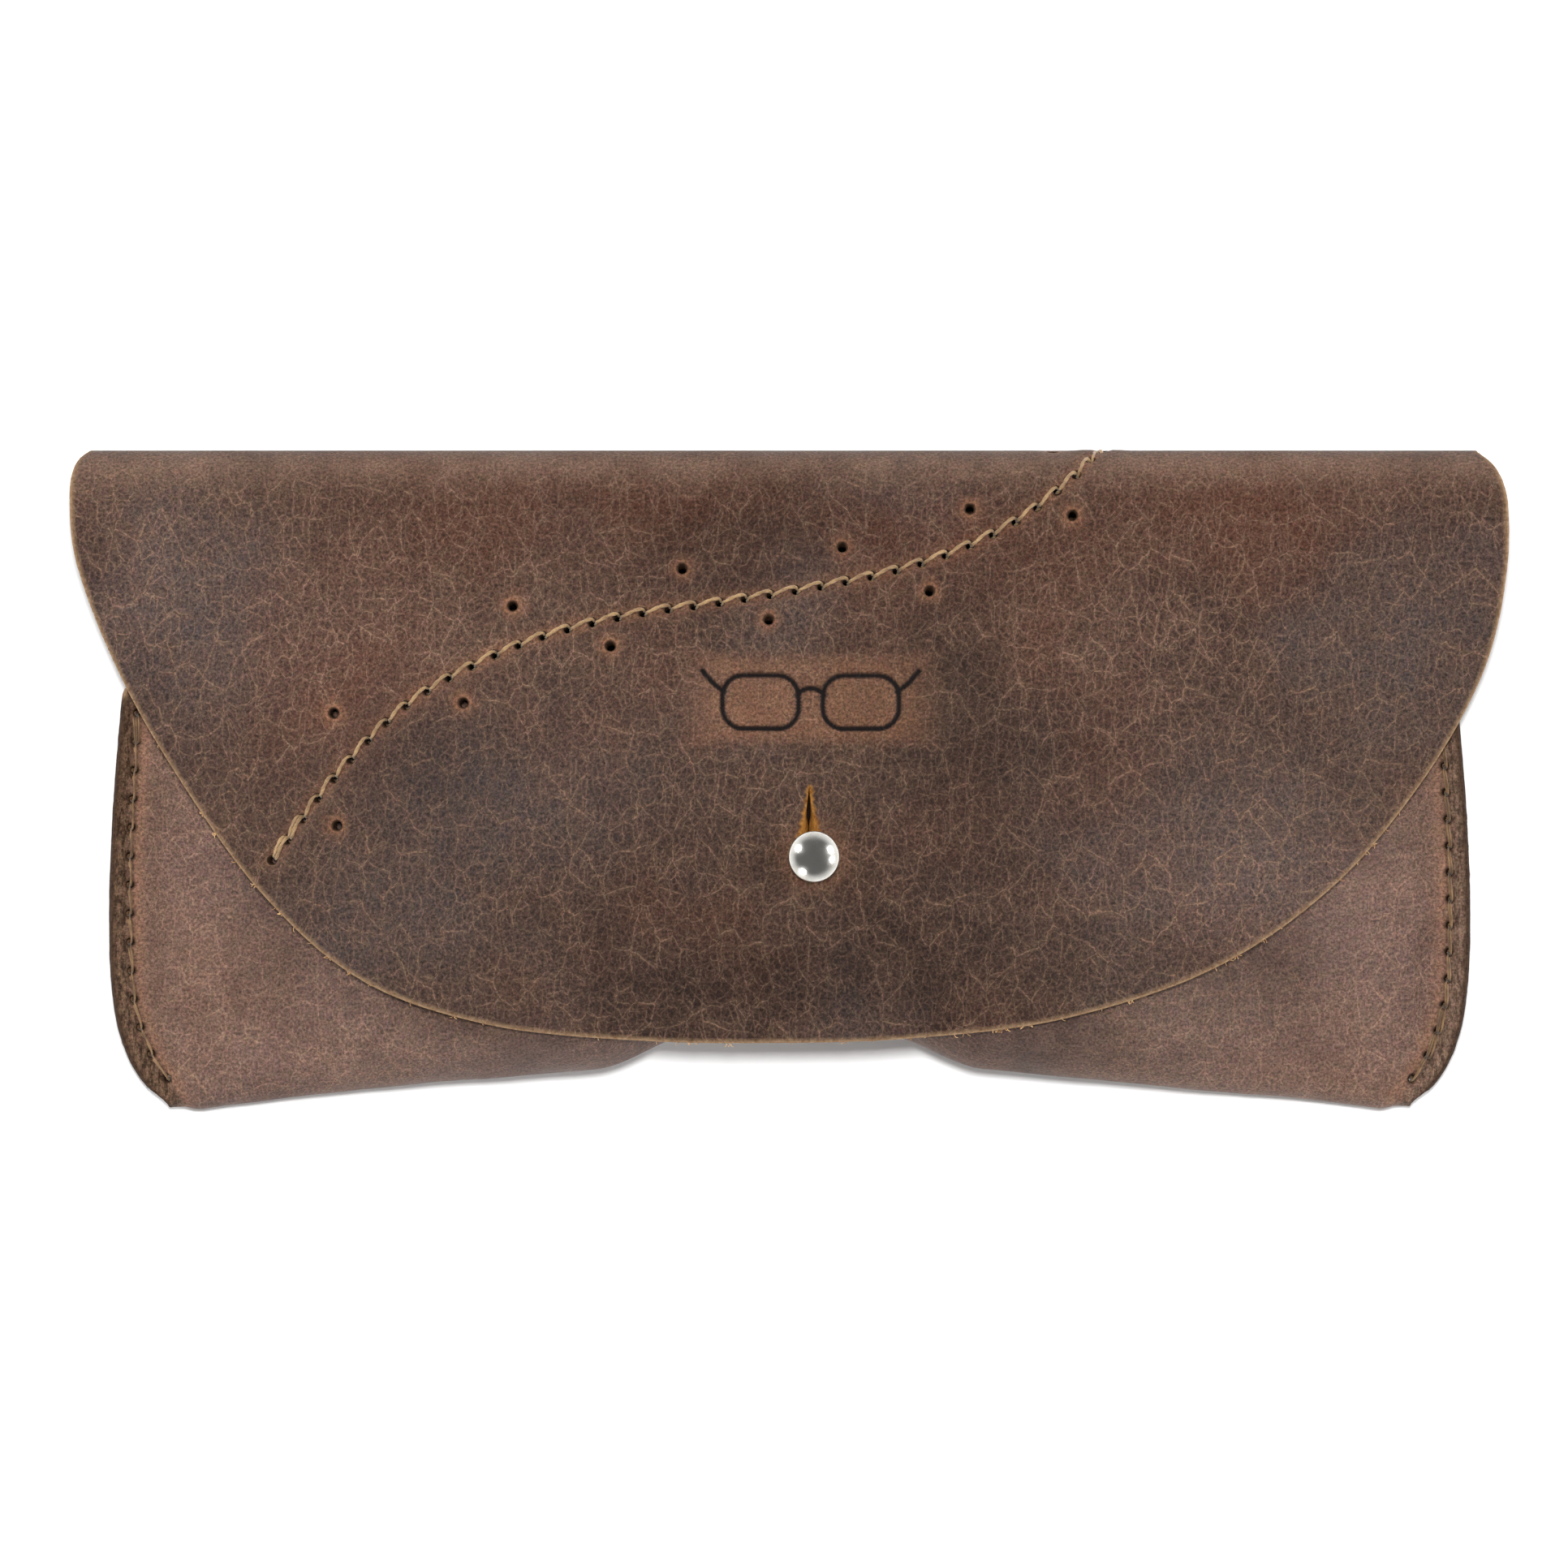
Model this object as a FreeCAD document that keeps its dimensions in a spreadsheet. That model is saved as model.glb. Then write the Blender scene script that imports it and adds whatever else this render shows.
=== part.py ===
"""Soft leather glasses case with a ball stud: a FreeCAD model of every piece, in millimetres.

The case lies on its back. +X runs along the case, +Y points from the bottom of the pouch to the top
fold, and +Z out of the front. The origin is at the middle of the underside.
"""
import FreeCAD, Part
import Sketcher
import math
import os

from FreeCAD import Placement, Rotation, Vector

DIMENSIONS = [
    ("leather", 2.0, "thickness of the hide"),
    ("seam_gap", 0.4, "space left between the two leaves in a seam"),
    ("joint_gap", 0.2, "space between neighbouring zones of the hide"),
    ("bottom_y", -41.0, "lowest point of the bottom fold, at its corners"),
    ("bottom_taper", 0.09, "rise of the bottom fold per mm from its corner to the middle"),
    ("corner_x", 77.0, "where the bottom fold starts to rise"),
    ("dent", 3.3, "extra rise of the bottom fold at its middle"),
    ("dent_inner", 12.0, "half length of the dent's floor"),
    ("dent_outer", 24.0, "half length of the dent at its rim"),
    ("depth_half", 14.0, "half the depth of the pouch at its middle"),
    ("crown", 20.0, "how broadly the pouch is rounded at its middle"),
    ("mouth_y", 11.3, "the pouch's mouth"),
    ("crest_y", -14.0, "where the front panel is highest"),
    ("mouth_drop", 0.3, "share of the depth lost from the crest to the mouth"),
    ("rise_start", 50.0, "where the back starts to lift off the table"),
    ("rise_end", 84.2, "half length of the pouch"),
    ("rise_height", 3.0, "lift of the back at the side seams"),
    ("fold_y", 35.0, "end of the back panel, where the top fold starts"),
    ("bend_radius", 5.5, "outer radius of both bends of the top fold"),
    ("spine_height", 17.0, "height of the top fold"),
    ("spine_left", 86.9, "left end of the top fold, from the middle"),
    ("spine_right", 85.4, "right end of the top fold, from the middle"),
    ("bend_half", 91.0, "half length of the upper bend's blank"),
    ("flap_rise", 14.4, "rise of the flap from the top fold to its crest"),
    ("flap_taper", 0.32, "loss of that rise per mm from the middle"),
    ("flap_crown", 18.0, "how broadly the flap is rounded at its middle"),
    ("flap_crest_y", -8.0, "where the flap is highest"),
    ("flap_droop", 0.65, "how fast the flap falls below its crest"),
    ("flap_tip_y", -36.0, "end of the flap's blank, before its outline is cut"),
    ("hole_radius", 0.6, "stitch holes and punched holes"),
    ("thread_radius", 0.42, "stitches"),
    ("core_radius", 0.35, "thread where it passes through the leather"),
    ("thread_lift", 0.15, "space between a stitch and the leather"),
    ("left_pitch", 3.58, "stitch length of the left seam"),
    ("right_pitch", 3.25, "stitch length of the right seam"),
    ("decor_pitch", 3.17, "stitch length of the decorative line"),
    ("stitch_gap", 0.12, "how far a stitch stays short of its hole's axis"),
    ("spine_stitch_x", 39.0, "where the decorative line goes down the spine"),
    ("spine_stitch_low", 6.4, "lowest stitch hole of the spine"),
    ("spine_stitch_high", 10.6, "highest stitch hole of the spine"),
    ("stud_x", 3.0, "stud's axis"),
    ("stud_y", -9.8, "stud's axis"),
    ("stud_base", 28.05, "height of the stud's flange"),
    ("flange_radius", 4.0, "stud's flange and the screw's head"),
    ("flange_height", 0.8, "stud's flange"),
    ("neck_radius", 1.6, "stud's neck"),
    ("ball_radius", 3.15, "stud's head below its widest place"),
    ("ball_height", 34.1, "height of the head's widest place"),
    ("dome_radius", 4.1, "rounding of the head's top"),
    ("dome_top", 37.25, "height of the head's top"),
    ("rim_radius", 0.5, "rounding between the head's side and its top"),
    ("bore_radius", 1.25, "stud's bore for the screw"),
    ("bore_depth", 3.8, "stud's bore"),
    ("shank_radius", 1.2, "screw's shank"),
    ("shank_length", 6.8, "screw's shank above its head"),
    ("head_top", 24.65, "height of the top of the screw's head"),
    ("head_height", 1.0, "screw's head"),
    ("slot_width", 0.9, "screw's slot"),
    ("slot_depth", 0.5, "screw's slot"),
    ("stud_hole_radius", 1.75, "hole in the front panel for the stud"),
    ("window_half", 5.0, "half width of the soft area around the keyhole"),
    ("window_low", -16.5, "lower end of the soft area"),
    ("window_high", -0.6, "upper end of the soft area"),
    ("keyhole_radius", 2.0, "round end of the keyhole"),
    ("slit_half", 0.4, "half width of the keyhole's slit"),
    ("slit_top", -1.8, "upper end of the keyhole's slit"),
    ("lip_overlap", 2.0, "how far the lips' blank goes past the soft area"),
    ("blank_half", 120.0, "half size of the square that outlines are cut from"),
    ("overcut", 1.0, "how far a cut goes past the leather or the metal"),
]

# Half of the pouch's outline, from the end of the back panel down to a bottom corner.
SIDE_OUTLINE = [
    (84.8, 34.8), (83.4, 24.0), (82.2, 15.5), (82.7, 9.5), (83.8, -5.0), (84.2, -17.0),
    (83.9, -26.0), (82.9, -32.0), (80.7, -37.0), (76.8, -41.2), (74.0, -43.5),
]

# Half of a seam's stitch line, from the mouth down.
SEAM_LINE = [
    (80.9, 8.0), (81.3, 0.0), (81.8, -10.0), (81.8, -20.0), (81.2, -28.5), (79.3, -34.2), (77.4, -37.4),
]

# The flap's outline, from the right end of the top fold round to the left end.
FLAP_OUTLINE = [
    (85.3, 40.4), (87.3, 38.7), (88.5, 36.0), (89.0, 32.0), (88.8, 25.0), (86.4, 14.0), (79.6, 1.0),
    (68.0, -13.0), (53.0, -23.5),
    (33.5, -30.0), (14.0, -32.4), (-2.0, -32.9), (-17.0, -32.7), (-37.5, -30.6), (-53.0, -25.2),
    (-65.0, -15.0), (-77.3, 2.2), (-84.5, 15.8), (-88.6, 27.5), (-89.1, 34.0),
    (-88.9, 37.6), (-88.2, 39.5), (-87.0, 40.4),
]

# The decorative stitch line on the flap, from its low end up to the top fold.
DECOR_LINE = [
    (-64.2, -10.3), (-56.3, 0.1), (-47.2, 9.1), (-38.4, 14.3), (-29.4, 17.9), (-20.1, 20.1),
    (-7.3, 21.9), (4.8, 23.9), (13.8, 25.9), (22.1, 28.7), (29.8, 32.9), (35.6, 37.6),
]

# The punched holes of the flap, above and below the decorative line.
PUNCHED_PLACES = [
    (-56.4, 7.9), (-34.3, 21.2), (-13.3, 25.8), (6.5, 28.5), (22.3, 33.2),
    (-56.1, -6.0), (-40.4, 9.2), (-22.2, 16.3), (-2.6, 19.5), (17.3, 23.1), (35.0, 32.4),
]

# One more punched hole goes through the upper bend, given by its x and z.
BEND_HOLE = (32.6, 12.3)

# Stations along X of the sections of the pouch and of the flap.
POUCH_STATIONS = [0.0, 7.0, 14.0, 20.0, 26.0, 33.0, 42.0, 52.0, 64.0, 71.0, 75.0, 78.0, 80.0, 82.5, 85.0]
FLAP_STATIONS = [0.0, 15.0, 30.0, 45.0, 60.0, 75.0, 91.0]
LIP_STEPS = [-7.0, -3.5, 0.0, 3.5, 7.0]

# Points of each section's curves
FRONT_POINTS = 7
FLAP_POINTS = 12


def make_sheet(doc):
    """The spreadsheet of driving dimensions, with an alias for each."""
    sheet = doc.addObject("Spreadsheet::Sheet", "dims")
    for row, (alias, value, note) in enumerate(DIMENSIONS, start=1):
        sheet.set(f"A{row}", alias)
        sheet.set(f"B{row}", str(value))
        sheet.set(f"C{row}", note)
        sheet.setAlias(f"B{row}", alias)
    doc.recompute()
    return sheet


class Dims:
    """The sheet's values by alias."""

    def __init__(self, sheet):
        for alias, _, _ in DIMENSIONS:
            setattr(self, alias, float(sheet.get(alias)))


document = FreeCAD.newDocument("glasses_case")
sheet = make_sheet(document)
d = Dims(sheet)


# Shape of the leather

def ramp(value, low, high):
    """0 below low, 1 above high, and smooth between."""
    share = min(max((value - low) / (high - low), 0.0), 1.0)
    return share * share * (3.0 - 2.0 * share)


def rounded_distance(x, softness):
    """Distance from the middle plane, rounded off near it."""
    return math.sqrt(x * x + softness * softness) - softness


def edge_half_depth():
    """Half the thickness of the two leaves in a seam."""
    return d.leather + d.seam_gap / 2.0


def half_depth(x):
    """Outer radius of the bottom fold at a station."""
    end = edge_half_depth()
    seam_x = d.corner_x + 1.0
    share = rounded_distance(abs(x), d.crown) / rounded_distance(seam_x, d.crown)
    return end + (d.depth_half - end) * max(1.0 - share, 0.0)


def bottom_y(x):
    """Lowest point of the bottom fold at a station."""
    rise = d.bottom_taper * max(d.corner_x - abs(x), 0.0)
    return d.bottom_y + rise + d.dent * (1.0 - ramp(abs(x), d.dent_inner, d.dent_outer))


def back_rise(x):
    """Height of the back's outer face above the table: flat, then an arc towards each seam."""
    run = d.rise_end - d.rise_start
    radius = (run ** 2 + d.rise_height ** 2) / (2.0 * d.rise_height)
    past = max(abs(x) - d.rise_start, 0.0)
    return radius - math.sqrt(radius ** 2 - past ** 2)


def fold_line_y(x):
    """Where the bottom fold ends and the two leaves start."""
    return bottom_y(x) + half_depth(x)


def front_height(x, y):
    """Height of the front panel's outer face."""
    thin = 2.0 * edge_half_depth()
    toward_mouth = max(y - d.crest_y, 0.0) / (d.mouth_y - d.crest_y)
    share = 1.0 - d.mouth_drop * toward_mouth ** 2
    return back_rise(x) + thin + (2.0 * half_depth(x) - thin) * share


def flap_height(x, y):
    """Height of the flap's outer face."""
    rise = d.flap_rise - d.flap_taper * rounded_distance(abs(x), d.flap_crown)
    along = max((d.fold_y - y) / (d.fold_y - d.flap_crest_y), 0.0)
    if along < 1.0:
        share = 1.0 - (1.0 - along ** 1.3) ** 1.6
    else:
        share = 1.0 - d.flap_droop * (along - 1.0) ** 2
    return d.spine_height + rise * share


def both_sides(stations):
    """The stations on both sides of the middle, in order."""
    return sorted({-s for s in stations} | set(stations))


def spread(low, high, count):
    """Evenly spaced values from low to high."""
    return [low + (high - low) * i / (count - 1) for i in range(count)]


# Sketches and bodies

def origin_plane(body, role):
    """A body's own origin plane."""
    return next(f for f in body.Origin.OriginFeatures if f.Role == role)


def new_body(name):
    body = document.addObject("PartDesign::Body", name)
    body.Label = name
    return body


def new_sketch(body, name, role, offset=0.0):
    """A sketch on one of the body's origin planes, moved along its normal."""
    sketch = body.newObject("Sketcher::SketchObject", name)
    sketch.AttachmentSupport = [(origin_plane(body, role), "")]
    sketch.MapMode = "FlatFace"
    sketch.AttachmentOffset = Placement(Vector(0, 0, offset), Rotation())
    return sketch


def through_points(points):
    """A smooth curve through points of the sketch's plane."""
    curve = Part.BSplineCurve()
    curve.interpolate([Vector(u, v, 0) for u, v in points])
    return curve


def segment(start, end):
    return Part.LineSegment(Vector(start[0], start[1], 0), Vector(end[0], end[1], 0))


def add_band(sketch, outer, inner):
    """A closed strip between two curves, each given by its points from the same end."""
    sketch.addGeometry(through_points(outer), False)
    sketch.addGeometry(segment(outer[-1], inner[-1]), False)
    sketch.addGeometry(through_points(inner), False)
    sketch.addGeometry(segment(inner[0], outer[0]), False)


def loft(body, name, sketches):
    """A loft through sketches given in order."""
    feature = body.newObject("PartDesign::AdditiveLoft", name)
    feature.Profile = sketches[0]
    feature.Sections = sketches[1:]
    feature.Ruled = False
    feature.Closed = False
    return feature


def pocket(body, sketch, name):
    """Cuts a sketch right through the body, both ways."""
    feature = body.newObject("PartDesign::Pocket", name)
    feature.Profile = sketch
    feature.Type = "ThroughAll"
    feature.SideType = "Symmetric"
    return feature


def trim_to_outline(body, name, curves):
    """Cuts away everything outside a closed outline in plan view."""
    sketch = new_sketch(body, name + "_sketch", "XY_Plane")
    half = d.blank_half
    corners = [(-half, -half), (half, -half), (half, half), (-half, half)]
    for i, corner in enumerate(corners):
        sketch.addGeometry(segment(corner, corners[(i + 1) % 4]), False)
    for curve in curves:
        sketch.addGeometry(curve, False)
    return pocket(body, sketch, name)


def cut_round_holes(body, name, holes, role="XY_Plane"):
    """Cuts round holes, given in the plane as (u, v, alias of the radius)."""
    sketch = new_sketch(body, name + "_sketch", role)
    for x, y, alias in holes:
        circle = Part.Circle(Vector(x, y, 0), Vector(0, 0, 1), getattr(d, alias))
        index = sketch.addGeometry(circle, False)
        constraint = sketch.addConstraint(Sketcher.Constraint("Radius", index, getattr(d, alias)))
        sketch.setExpression(f"Constraints[{constraint}]", f"dims.{alias}")
    return pocket(body, sketch, name)


def pouch_outline():
    """The pouch in plan view: two curved sides, closed at the top and the bottom."""
    right = SIDE_OUTLINE
    left = [(-x, y) for x, y in SIDE_OUTLINE]
    return [
        through_points(right),
        segment(right[-1], left[-1]),
        through_points(left[::-1]),
        segment(left[0], right[0]),
    ]


def flap_outline():
    """The flap in plan view, closed just past the top fold."""
    first, last = FLAP_OUTLINE[0], FLAP_OUTLINE[-1]
    top = d.fold_y + d.bend_radius + d.overcut
    corners = [last, (last[0], top), (first[0], top), first]
    edges = [segment(start, end) for start, end in zip(corners, corners[1:])]
    return [through_points(FLAP_OUTLINE)] + edges


# The pouch's leather

def build_bottom_fold():
    """The hide's turn at the bottom of the pouch: a half pipe that is thin at its ends."""
    body = new_body("bottom_fold")
    sketches = []
    for i, x in enumerate(both_sides(POUCH_STATIONS)):
        sketch = new_sketch(body, f"fold_section_{i}", "YZ_Plane", x)
        outer = half_depth(x)
        inner = outer - d.leather
        y = fold_line_y(x) - d.joint_gap
        z = back_rise(x) + outer
        centre = Vector(y, z, 0)
        for radius in (outer, inner):
            circle = Part.Circle(centre, Vector(0, 0, 1), radius)
            sketch.addGeometry(Part.ArcOfCircle(circle, math.pi / 2, 3 * math.pi / 2), False)
        sketch.addGeometry(segment((y, z + outer), (y, z + inner)), False)
        sketch.addGeometry(segment((y, z - outer), (y, z - inner)), False)
        sketches.append(sketch)
    loft(body, "fold_loft", sketches)
    trim_to_outline(body, "side_cut", pouch_outline())
    return body


def back_profile(height):
    """One face of the back in the XZ plane: an arc, a flat and an arc, at a height above the table."""
    end = d.rise_end + d.overcut
    middle = (d.rise_start + end) / 2.0
    right = [(x, back_rise(x) + height) for x in (d.rise_start, middle, end)]
    left = [(-x, z) for x, z in right]
    return [
        Part.Arc(*(Vector(x, z, 0) for x, z in reversed(left))),
        segment(left[0], right[0]),
        Part.Arc(*(Vector(x, z, 0) for x, z in right)),
    ], left[-1], right[-1]


def build_back_panel(holes):
    """The leaf that lies on the table, with the ends lifted to meet the seams."""
    body = new_body("back_panel")
    sketch = new_sketch(body, "back_section", "XZ_Plane")
    lower, low_left, low_right = back_profile(0.0)
    upper, high_left, high_right = back_profile(d.leather)
    for curve in lower + upper + [segment(low_left, high_left), segment(low_right, high_right)]:
        sketch.addGeometry(curve, False)
    pad = body.newObject("PartDesign::Pad", "back_pad")
    pad.Profile = sketch
    pad.SideType = "Symmetric"
    pad.setExpression("Length", "dims.bottom_y * -2")
    trim_to_outline(body, "side_cut", pouch_outline())
    cut_below_fold_line(body)
    cut_round_holes(body, "seam_holes", holes)
    return body


def cut_below_fold_line(body):
    """Cuts a panel along the line where the bottom fold starts."""
    line = [(x, fold_line_y(x)) for x in both_sides(POUCH_STATIONS)]
    floor = d.bottom_y - d.overcut
    corners = [line[-1], (line[-1][0], floor), (line[0][0], floor), line[0]]
    edges = [segment(start, end) for start, end in zip(corners, corners[1:])]
    cut_curves(body, "fold_cut", [through_points(line)] + edges)


def build_front_panel(holes):
    """The bulging leaf that carries the stud."""
    body = new_body("front_panel")
    sketches = []
    for i, x in enumerate(both_sides(POUCH_STATIONS)):
        sketch = new_sketch(body, f"front_section_{i}", "YZ_Plane", x)
        along = spread(fold_line_y(x), d.mouth_y, FRONT_POINTS)
        outer = [(y, front_height(x, y)) for y in along]
        inner = [(y, z - d.leather) for y, z in outer]
        add_band(sketch, outer, inner)
        sketches.append(sketch)
    loft(body, "front_loft", sketches)
    trim_to_outline(body, "side_cut", pouch_outline())
    cut_round_holes(body, "holes", holes + [(d.stud_x, d.stud_y, "stud_hole_radius")])
    return body


# The top fold

def pad_along(body, sketch, name, length):
    """Pads a section along the case, by an expression of the sheet."""
    pad = body.newObject("PartDesign::Pad", name)
    pad.Profile = sketch
    pad.setExpression("Length", length)
    return pad


def bend_section(body, name, start_x, centre_z, turn):
    """The section of a quarter turn of leather, between two angles."""
    sketch = new_sketch(body, name, "YZ_Plane", start_x)
    centre = Vector(d.fold_y, centre_z, 0)
    inner_radius = d.bend_radius - d.leather
    for radius in (d.bend_radius, inner_radius):
        circle = Part.Circle(centre, Vector(0, 0, 1), radius)
        sketch.addGeometry(Part.ArcOfCircle(circle, *turn), False)
    for angle in turn:
        u, v = math.cos(angle), math.sin(angle)
        inner = (d.fold_y + inner_radius * u, centre_z + inner_radius * v)
        outer = (d.fold_y + d.bend_radius * u, centre_z + d.bend_radius * v)
        sketch.addGeometry(segment(inner, outer), False)
    return sketch


def build_lower_bend():
    """The quarter turn from the back up to the spine."""
    body = new_body("lower_bend")
    turn = (-math.pi / 2, 0.0)
    sketch = bend_section(body, "lower_bend_section", -d.spine_left, d.bend_radius, turn)
    pad_along(body, sketch, "lower_bend_pad", "dims.spine_left + dims.spine_right")
    return body


def build_upper_bend():
    """The quarter turn from the spine to the flap, cut to the flap's outline."""
    body = new_body("upper_bend")
    turn = (0.0, math.pi / 2)
    height = d.spine_height - d.bend_radius
    sketch = bend_section(body, "upper_bend_section", -d.bend_half, height, turn)
    pad_along(body, sketch, "upper_bend_pad", "dims.bend_half * 2")
    trim_to_outline(body, "flap_outline", flap_outline())
    cut_round_holes(body, "bend_hole", [(*BEND_HOLE, "hole_radius")], "XZ_Plane")
    return body


def build_spine(holes):
    """The flat strip between the two bends of the top fold."""
    body = new_body("spine")
    sketch = new_sketch(body, "spine_section", "YZ_Plane", -d.spine_left)
    outer_y = d.fold_y + d.bend_radius
    inner_y = outer_y - d.leather
    low = d.bend_radius + d.joint_gap
    high = d.spine_height - d.bend_radius - d.joint_gap
    corners = [(inner_y, low), (outer_y, low), (outer_y, high), (inner_y, high)]
    for k, corner in enumerate(corners):
        sketch.addGeometry(segment(corner, corners[(k + 1) % 4]), False)
    pad_along(body, sketch, "spine_pad", "dims.spine_left + dims.spine_right")
    cut_round_holes(body, "spine_holes", holes, "XZ_Plane")
    return body


# The flap

def flap_loft(body, stations, low_y, high_y):
    """A piece of the flap's curved leather between two stations and two values of y."""
    sketches = []
    for i, x in enumerate(stations):
        sketch = new_sketch(body, f"flap_section_{i}", "YZ_Plane", x)
        outer = [(y, flap_height(x, y)) for y in spread(low_y, high_y, FLAP_POINTS)]
        inner = [(y, z - d.leather) for y, z in outer]
        add_band(sketch, outer, inner)
        sketches.append(sketch)
    return loft(body, "flap_loft", sketches)


def window_outline(inset):
    """The soft area around the keyhole in plan view, a slot with round ends."""
    half = d.window_half - inset
    low = d.window_low + d.window_half
    high = d.window_high - d.window_half
    upper = Part.Circle(Vector(d.stud_x, high, 0), Vector(0, 0, 1), half)
    lower = Part.Circle(Vector(d.stud_x, low, 0), Vector(0, 0, 1), half)
    return [
        Part.ArcOfCircle(upper, 0.0, math.pi),
        segment((d.stud_x - half, high), (d.stud_x - half, low)),
        Part.ArcOfCircle(lower, math.pi, 2.0 * math.pi),
        segment((d.stud_x + half, low), (d.stud_x + half, high)),
    ]


def cut_curves(body, name, curves):
    """Cuts a closed outline through the body."""
    sketch = new_sketch(body, name + "_sketch", "XY_Plane")
    for curve in curves:
        sketch.addGeometry(curve, False)
    return pocket(body, sketch, name)


def build_flap_panel(holes):
    """The flap, with a window for the soft leather around the keyhole."""
    body = new_body("flap_panel")
    flap_loft(body, both_sides(FLAP_STATIONS), d.flap_tip_y, d.fold_y - d.joint_gap)
    trim_to_outline(body, "flap_outline", flap_outline())
    cut_curves(body, "window", window_outline(0.0))
    cut_round_holes(body, "flap_holes", holes)
    return body


def build_keyhole_lips():
    """The soft leather around the keyhole, which spreads as the ball is pushed through."""
    body = new_body("keyhole_lips")
    stations = [d.stud_x + step for step in LIP_STEPS]
    flap_loft(body, stations, d.window_low - d.lip_overlap, d.window_high + d.lip_overlap)
    trim_to_outline(body, "lip_outline", window_outline(d.joint_gap))
    cut_round_holes(body, "keyhole", [(d.stud_x, d.stud_y, "keyhole_radius")])
    left, right = d.stud_x - d.slit_half, d.stud_x + d.slit_half
    corners = [(left, d.stud_y), (right, d.stud_y), (right, d.slit_top), (left, d.slit_top)]
    sides = [segment(corner, corners[(k + 1) % 4]) for k, corner in enumerate(corners)]
    cut_curves(body, "slit", sides)
    return body


# Stitching

def plan_curve(points):
    """A smooth curve through points in plan view."""
    curve = Part.BSplineCurve()
    curve.interpolate([Vector(x, y, 0) for x, y in points])
    return curve


def evenly_along(curve, pitch):
    """Parameters of points one pitch apart along a curve, both ends included."""
    length = curve.length()
    count = max(round(length / pitch), 1)
    first = curve.FirstParameter
    return [curve.parameterAtDistance(length * i / count, first) for i in range(count + 1)]


def stitch_places(points, pitch):
    """Places of the stitch holes along a line."""
    curve = plan_curve(points)
    places = [curve.value(t) for t in evenly_along(curve, pitch)]
    return [(p.x, p.y) for p in places]


def rod(start, end, radius):
    """A round bar between two points."""
    along = end - start
    return Part.makeCylinder(radius, along.Length, start, along)


def thread_shape(tops, bottoms):
    """One thread: a stitch above and below between neighbouring holes, and a core in each hole."""
    cores = [rod(low, high, d.core_radius) for low, high in zip(bottoms, tops)]
    stitches = []
    for row in (tops, bottoms):
        for start, end in zip(row, row[1:]):
            along = (end - start).normalize() * d.stitch_gap
            stitches.append(rod(start + along, end - along, d.thread_radius))
    return cores[0].multiFuse(cores[1:] + stitches).removeSplitter()


def thread_feature(name, tops, bottoms):
    feature = document.addObject("Part::Feature", name)
    feature.Label = name
    feature.Shape = thread_shape(tops, bottoms)
    return feature


def build_seam_thread(name, places):
    """The thread of one side seam, through both leaves."""
    reach = d.thread_radius + d.thread_lift
    tops = [Vector(x, y, front_height(x, y) + reach) for x, y in places]
    bottoms = [Vector(x, y, back_rise(x) - reach) for x, y in places]
    return thread_feature(name, tops, bottoms)


def spine_stitch_heights():
    """Heights of the stitch holes where the decorative line goes down the spine."""
    return spread(d.spine_stitch_low, d.spine_stitch_high, 3)


def build_spine_thread():
    """The decorative thread where it goes down the spine."""
    reach = d.thread_radius + d.thread_lift
    outer_y = d.fold_y + d.bend_radius + reach
    inner_y = d.fold_y + d.bend_radius - d.leather - reach
    outside = [Vector(d.spine_stitch_x, outer_y, z) for z in spine_stitch_heights()]
    inside = [Vector(d.spine_stitch_x, inner_y, z) for z in spine_stitch_heights()]
    return thread_feature("spine_thread", outside, inside)


def build_decor_thread(places):
    """The decorative thread of the flap."""
    reach = d.thread_radius + d.thread_lift
    tops = [Vector(x, y, flap_height(x, y) + reach) for x, y in places]
    bottoms = [Vector(x, y, flap_height(x, y) - d.leather - reach) for x, y in places]
    return thread_feature("decorative_thread", tops, bottoms)


# The stud

def build_closure_stud():
    """Head, neck and flange turned in one piece, with a blind bore for the screw."""
    body = new_body("closure_stud")
    sketch = new_sketch(body, "stud_section", "XZ_Plane")
    base = d.stud_base
    head_start = d.ball_height - math.sqrt(d.ball_radius ** 2 - d.neck_radius ** 2)
    bore_top = base + d.bore_depth
    corners = [
        (0.0, bore_top), (d.bore_radius, bore_top), (d.bore_radius, base), (d.flange_radius, base),
        (d.flange_radius, base + d.flange_height), (d.neck_radius, base + d.flange_height),
        (d.neck_radius, head_start),
    ]
    for start, end in zip(corners, corners[1:]):
        sketch.addGeometry(segment(start, end), False)
    for curve in head_curves(corners[-1]):
        sketch.addGeometry(curve, False)
    sketch.addGeometry(segment((0.0, d.dome_top), corners[0]), False)
    revolve(body, sketch, "stud_turned")
    place_on_stud_axis(body)
    return body


def arc_points(centre, radius, angles):
    """Points of an arc at three angles."""
    return [(centre[0] + radius * math.cos(a), centre[1] + radius * math.sin(a)) for a in angles]


def head_curves(start):
    """The head's outline from the neck to the axis: a ball's lower half, a short side, a rim and a dome."""
    centre = (0.0, d.ball_height)
    low_angle = math.atan2(start[1] - centre[1], start[0])
    below = arc_points(centre, d.ball_radius, (low_angle, low_angle / 2.0, 0.0))
    rim_x = d.ball_radius - d.rim_radius
    dome_centre = (0.0, d.dome_top - d.dome_radius)
    rise = math.sqrt((d.dome_radius - d.rim_radius) ** 2 - rim_x ** 2)
    turn = math.atan2(rise, rim_x)
    rim = arc_points((rim_x, dome_centre[1] + rise), d.rim_radius, (0.0, turn / 2.0, turn))
    dome = arc_points(dome_centre, d.dome_radius, (turn, (turn + math.pi / 2.0) / 2.0, math.pi / 2.0))
    arcs = [Part.Arc(*(Vector(x, z, 0) for x, z in points)) for points in (below, rim, dome)]
    return [arcs[0], segment(below[-1], rim[0])] + arcs[1:]


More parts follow.
